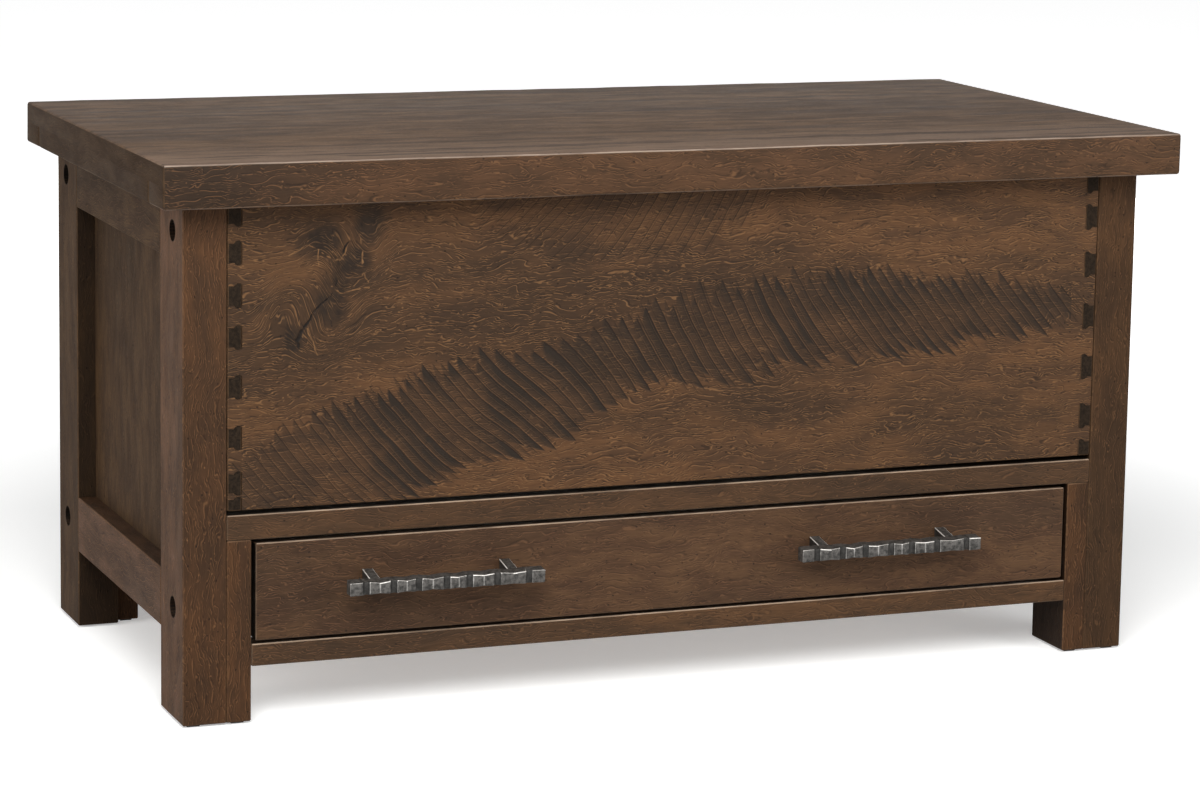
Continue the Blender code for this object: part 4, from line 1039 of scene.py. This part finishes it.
def forge_bar(side, values, seed):
    """A square bar: round flutes forged across its front, and between them facets that meet in a pinch."""
    low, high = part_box(f"pull_{side}")
    # As far behind the solid as the hammer may move a corner
    front, back = low.y + values.hammering, low.y + values.bar_depth
    middle_z = low.z + values.bar_height / 2
    start = Vector((low.x, front, low.z))
    end = Vector((high.x, back, low.z + values.bar_height))
    bar = board(f"forged_pull_{side}", start, end, "X", 0, 0.0, seed)
    draw = random.Random(seed)
    flutes = flute_places(low, high)
    half = values.flute_width / 2
    cuts = []
    for centre in flutes:
        for share in FLUTE_PROFILE_SHARES:
            hollow = math.sqrt(1.0 - share * share)
            cuts.append((centre + share * half, values.facet_slope + hollow * values.flute_depth, 1.0))
    for before, after in zip(flutes, flutes[1:]):
        place_x = (before + after) / 2 + draw.uniform(-0.15, 0.15) * half
        cuts.append((place_x, 0.0, 1.0 - values.pinch * draw.uniform(0.7, 1.3)))
    take(bar)
    bpy.ops.object.mode_set(mode="EDIT")
    for place_x, _, _ in cuts:
        bpy.ops.mesh.select_all(action="SELECT")
        bpy.ops.mesh.bisect(plane_co=(place_x, 0.0, 0.0), plane_no=(1.0, 0.0, 0.0))
    for place_x, depth, narrowing in cuts:

        def at_cut(place, place_x=place_x):
            return abs(place.x - place_x) < 0.05 * MM

        def at_front(place, at_cut=at_cut):
            return at_cut(place) and place.y < front + 0.1 * MM

        pick(bar, points=at_cut)
        if narrowing < 1.0:
            centre = (place_x, back, middle_z)
            bpy.ops.transform.resize(value=(1.0, 1.0, narrowing), center_override=centre)
        pick(bar, points=at_front)
        bpy.ops.transform.translate(value=(0.0, depth, 0.0))
    pick(bar, points=lambda place: place.y > back - 0.1 * MM and place.z > middle_z)
    bpy.ops.transform.translate(value=(0.0, 0.0, values.top_fall))
    bpy.ops.mesh.select_all(action="SELECT")
    bpy.ops.transform.vertex_random(offset=values.hammering, uniform=0.0, normal=0.0, seed=seed)
    bpy.ops.object.mode_set(mode="OBJECT")
    return bar


def narrow_enough(face, values):
    """Whether a face is only as wide as a broken edge."""
    return face.area < 1.1 * values.worn_edge * values.bar_height


def finish_bar(bar, values, low, high):
    """Breaks the bar's edges and leaves fire scale in its flutes. Its upper long edges get the bright finish,
    wear with a painted highlight, and its ridges and the edges that face left a softer painted highlight.
    """
    front = low.y
    half = values.flute_width / 2
    flutes = flute_places(low, high)
    ridges = [(before + after) / 2 for before, after in zip(flutes, flutes[1:])]

    def in_flute(x):
        return any(abs(x - centre) < 0.97 * half for centre in flutes)

    def lengthwise(start, end):
        return not (in_flute(start.x) and in_flute(end.x)) or abs(end.x - start.x) > 0.2 * MM

    round_edges(bar, values.worn_edge, 2, sharp=7.0, where=lengthwise)
    for face in bar.data.polygons:
        x, y, _ = face.center
        at_front = y < front + 0.7 * values.bar_depth
        slanted = face.normal.y < -0.25 and max(abs(face.normal.x), abs(face.normal.z)) > 0.3
        slanted = slanted and face.normal.y > -0.93 and narrow_enough(face, values)
        on_ridge = at_front and any(abs(x - ridge) < 0.6 * values.flute_width for ridge in ridges)
        if in_flute(x) and face.normal.y < -0.2:
            face.material_index = SCALED
        elif slanted:
            # Which copy an edge gets follows the way it faces: painted highlights where it faces up or left,
            # plain steel where it faces down or right
            if abs(face.normal.x) > abs(face.normal.z):
                face.material_index = SOFT_HIGHLIGHT if face.normal.x < 0.0 else STEEL
            else:
                face.material_index = WORN_HIGHLIGHT if face.normal.z > 0.0 else STEEL
        elif on_ridge and narrow_enough(face, values) and face.normal.y < -0.85:
            face.material_index = SOFT_HIGHLIGHT


def forge_post(side, sign, values, low, high):
    """A square post that slopes up from the bar to its root on the drawer."""
    centre_x = (low.x + high.x) / 2 + sign * values.post_spread / 2
    thick = values.post_width / 2
    bar_back = low.y + values.bar_depth
    bar_top = low.z + values.bar_height
    start = Vector((centre_x - thick, bar_back - 0.5 * MM, bar_top - values.post_width))
    end = Vector((centre_x + thick, high.y, bar_top))
    post = board(f"post_{side}_{sign}", start, end, "Y", 0, 0.0, 1)
    bpy.ops.object.mode_set(mode="EDIT")
    pick(post, faces=lambda face: face.normal.y > 0.9)
    bpy.ops.transform.translate(value=(0.0, 0.0, high.z - bar_top))
    bpy.ops.object.mode_set(mode="OBJECT")
    return post


def finish_post(post, values):
    """Breaks the post's edges and leaves fire scale on its sides and underside; the rounded edges between its
    top and its sides get the bright finish, wear with a painted highlight.
    """
    for face in post.data.polygons:
        if abs(face.normal.x) > 0.7 or face.normal.z < -0.5:
            face.material_index = SCALED
    round_edges(post, values.worn_edge, 2, sharp=22.0)
    for face in post.data.polygons:
        if face.normal.z > 0.3:
            face.material_index = WORN_HIGHLIGHT if abs(face.normal.x) > 0.3 else STEEL


class CHEST_OT_pulls(bpy.types.Operator):
    """Forge the two bar pulls: facets pinched between flutes, worn bright along their edges, with painted
    highlights on the edges that face up or left
    """

    bl_idname = "chest.pulls"
    bl_label = "Hammered pulls"

    def execute(self, context):
        values = context.scene.chest_pull
        # The dull and bright copies of the steel are painted highlights, partly wear, put on edges by the way
        # they face
        steel = forged_steel("Forged mild steel, hammered and waxed", "#2e2d2b", "#625f5c", 0.4)
        dull = forged_steel("Forged mild steel, rubbed dull", "#6e6c69", "#a09d9a")
        worn = forged_steel("Forged mild steel, rubbed bright", "#d2cfca", "#eeebe6")
        scaled = forged_steel("Forged mild steel, dark with fire scale", "#232220", "#3c3a38", 0.38)
        finishes = (steel, worn, scaled, dull)
        for side, seed in zip(SIDES, (21, 22)):
            bar = forge_bar(side, values, seed)
            low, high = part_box(f"pull_{side}")
            posts = [forge_post(side, sign, values, low, high) for sign in (-1, 1)]
            for piece in (bar, *posts):
                for material in finishes:
                    piece.data.materials.append(material)
            finish_bar(bar, values, low, high)
            for post in posts:
                finish_post(post, values)
            take(bar)
            for post in posts:
                post.select_set(True)
            bpy.ops.object.join()
            place_piece(bar, "drawer", "hammered_steel", finishes, f"pull_{side}")
        return {"FINISHED"}


class CHEST_OT_fittings(bpy.types.Operator):
    """Finish the slides, hinge and foot glides"""

    bl_idname = "chest.fittings"
    bl_label = "Fittings"

    def execute(self, context):
        slide = rolled_steel("Rolled steel, zinc plated", "#b6b9bc", 0.32)
        parts = ("case", "middle", "drawer")
        dress(slide, *(f"slide_{part}_member_{side}" for part in parts for side in SIDES))
        lacquered = rolled_steel("Rolled steel, dark bronze lacquer", "#2e2a26", 0.45)
        dress(lacquered, "hinge_case_leaf", "hinge_lid_leaf", "hinge_pin")
        dress(moulded_pad("Moulded nylon, black"), *(f"glide_{corner}" for corner in CORNERS))
        return {"FINISHED"}


# The photograph's camera, fitted to the lid's corners, the legs and the drawer: degrees, metres and pixels
CAMERA_YAW = -21.6701
CAMERA_PITCH = 8.8914
CAMERA_ROLL = -0.9554
CAMERA_DISTANCE = 4.5647
CAMERA_AIM = (0.0202, 0.0, 0.4281)
CAMERA_FOCAL_PIXELS = 3832.33
CAMERA_CENTRE_PIXELS = (609.01, 280.0)
PHOTO_WIDTH, PHOTO_HEIGHT = 1200, 800
SENSOR_MM = 36.0
FLOOR_WIDTH = 40.0
# How far from the chest the floor's own light starts to grow, and where it has grown, in metres
LIFT_GROWS_FROM, LIFT_GROWN_AT = 0.8, 2.3
WARM_LIGHT, PALE_LIGHT = (1.0, 0.985, 0.96), (1.0, 0.99, 0.975)
WHITE = (1.0, 1.0, 1.0, 1.0)
LAMP_TARGET = (0.0, 0.0, 0.3)
# Each lamp's place, width and height, power setting and colour
LAMPS = {
    "key_lamp": ((-1.5, -3.5, 3.2), (2.6, 2.6), "key_power", WARM_LIGHT),
    "fill_lamp": ((2.7, -3.7, 1.8), (2.5, 2.0), "fill_power", PALE_LIGHT),
    # Below the height of the lid, so that its top doesn't mirror it
    "back_lamp": ((2.2, 3.6, 0.30), (3.4, 0.5), "back_power", PALE_LIGHT),
    "end_lamp": ((-3.8, -0.8, 1.5), (2.0, 1.6), "end_power", WARM_LIGHT),
}


def camera_matrix():
    """Where the camera stands and how it is turned: left of the front, a little above, with a slight roll."""
    yaw, pitch, roll = (math.radians(angle) for angle in (CAMERA_YAW, CAMERA_PITCH, CAMERA_ROLL))
    back = Vector((math.sin(yaw) * math.cos(pitch), -math.cos(yaw) * math.cos(pitch), math.sin(pitch)))
    right = Vector((math.cos(yaw), math.sin(yaw), 0.0))
    up = back.cross(right)
    turned_right = right * math.cos(roll) - up * math.sin(roll)
    turned_up = right * math.sin(roll) + up * math.cos(roll)
    matrix = Matrix((turned_right, turned_up, back)).transposed().to_4x4()
    matrix.translation = Vector(CAMERA_AIM) + back * CAMERA_DISTANCE
    return matrix


def area_light(name, place, size, power, colour):
    """A large soft lamp that faces the chest."""
    deselect()
    bpy.ops.object.light_add(type="AREA", location=place)
    lamp = bpy.context.object
    lamp.name = name
    lamp.data.shape = "RECTANGLE"
    lamp.data.size, lamp.data.size_y = size
    lamp.data.energy = power
    lamp.data.color = colour
    lamp.rotation_euler = (Vector(LAMP_TARGET) - Vector(place)).to_track_quat("-Z", "Y").to_euler()


def seen_directly(tree):
    """1 for rays of the camera, of reflections and through glass, and 0 for the light on the chest."""
    path = add(tree, "LightPath").node.outputs
    seen = add(tree, "Math MAXIMUM", (path["Is Camera Ray"], path["Is Glossy Ray"]))
    return add(tree, "Math MAXIMUM", (seen, path["Is Transmission Ray"]))


class CHEST_OT_stage(bpy.types.Operator):
    """Lay the pale floor, and set the lamps, the sky and the camera"""

    bl_idname = "chest.stage"
    bl_label = "Studio"

    def execute(self, context):
        values = context.scene.chest_stage
        deselect()
        bpy.ops.mesh.primitive_plane_add(size=FLOOR_WIDTH, location=(0.0, 0.0, 0.0))
        floor = context.object
        floor.name = "studio_floor"
        bpy.ops.object.mode_set(mode="EDIT")
        bpy.ops.mesh.subdivide(number_cuts=3)
        bpy.ops.object.mode_set(mode="OBJECT")
        material, tree = new_material("Matt paint, pale studio floor")
        colour = (*values.floor_colour, 1.0)
        diffuse = add(tree, "BsdfDiffuse", (colour, 0.5))
        place = add(tree, "TexCoord").node.outputs["Object"]
        far = add(tree, "VectorMath LENGTH", (place,)).node.outputs["Value"]
        grows = (LIFT_GROWS_FROM, LIFT_GROWN_AT, values.floor_lift, values.floor_lift_far)
        level = add(tree, "MapRange SMOOTHSTEP", (far, *grows))
        lift = add(tree, "Math MULTIPLY", (seen_directly(tree), level))
        glow = add(tree, "Emission", (WHITE, lift))
        finish_material(tree, add(tree, "AddShader", (diffuse, glow)))
        floor.data.materials.append(material)

        world = bpy.data.worlds.new("Pale studio")
        context.scene.world = world
        world.use_nodes = True
        sky = world.node_tree
        sky.nodes.clear()
        strength = add(sky, "MapRange", (seen_directly(sky), 0.0, 1.0, values.sky, 1.0))
        background = add(sky, "Background", (WHITE, strength))
        add(sky, "OutputWorld", {"Surface": background})

        for name, (place, size, power, colour) in LAMPS.items():
            area_light(name, place, size, getattr(values, power), colour)

        camera_data = bpy.data.cameras.new("photo_camera")
        camera = bpy.data.objects.new("photo_camera", camera_data)
        context.scene.collection.objects.link(camera)
        camera.matrix_world = camera_matrix()
        camera_data.sensor_fit = "HORIZONTAL"
        camera_data.sensor_width = SENSOR_MM
        camera_data.lens = CAMERA_FOCAL_PIXELS / PHOTO_WIDTH * SENSOR_MM
        camera_data.shift_x = (PHOTO_WIDTH / 2 - CAMERA_CENTRE_PIXELS[0]) / PHOTO_WIDTH
        camera_data.shift_y = (CAMERA_CENTRE_PIXELS[1] - PHOTO_HEIGHT / 2) / PHOTO_WIDTH
        camera_data.clip_end = 200.0
        context.scene.camera = camera
        context.scene.view_settings.view_transform = "Standard"
        return {"FINISHED"}


OPERATORS = (CHEST_OT_case_woods, CHEST_OT_lid_boards, CHEST_OT_pulls, CHEST_OT_fittings, CHEST_OT_stage)


class CHEST_PT_pieces(bpy.types.Panel):
    """The chest's pieces, in the order in which they are made"""

    bl_idname = "CHEST_PT_pieces"
    bl_label = "Blanket chest"
    bl_space_type = "VIEW_3D"
    bl_region_type = "UI"
    bl_category = "Chest"

    def draw(self, context):
        for operator in OPERATORS:
            self.layout.operator(operator.bl_idname)
        for group_name in SETTINGS:
            group = getattr(context.scene, group_name)
            for name in group.bl_rna.properties.keys():
                if name not in ("rna_type", "name"):
                    self.layout.prop(group, name)


SETTINGS = {
    "chest_stain": ChestStainSettings,
    "chest_lid": ChestLidSettings,
    "chest_pull": ChestPullSettings,
    "chest_stage": ChestStageSettings,
}
CLASSES = (*SETTINGS.values(), *OPERATORS, CHEST_PT_pieces)


def register():
    for cls in CLASSES:
        bpy.utils.register_class(cls)
    for name, group in SETTINGS.items():
        setattr(bpy.types.Scene, name, bpy.props.PointerProperty(type=group))


def unregister():
    for name in SETTINGS:
        delattr(bpy.types.Scene, name)
    for cls in reversed(CLASSES):
        bpy.utils.unregister_class(cls)


def main():
    """Makes every piece in order."""
    register()
    bpy.ops.chest.case_woods()
    bpy.ops.chest.lid_boards()
    bpy.ops.chest.pulls()
    bpy.ops.chest.fittings()
    bpy.ops.chest.stage()


if __name__ == "__main__":
    main()
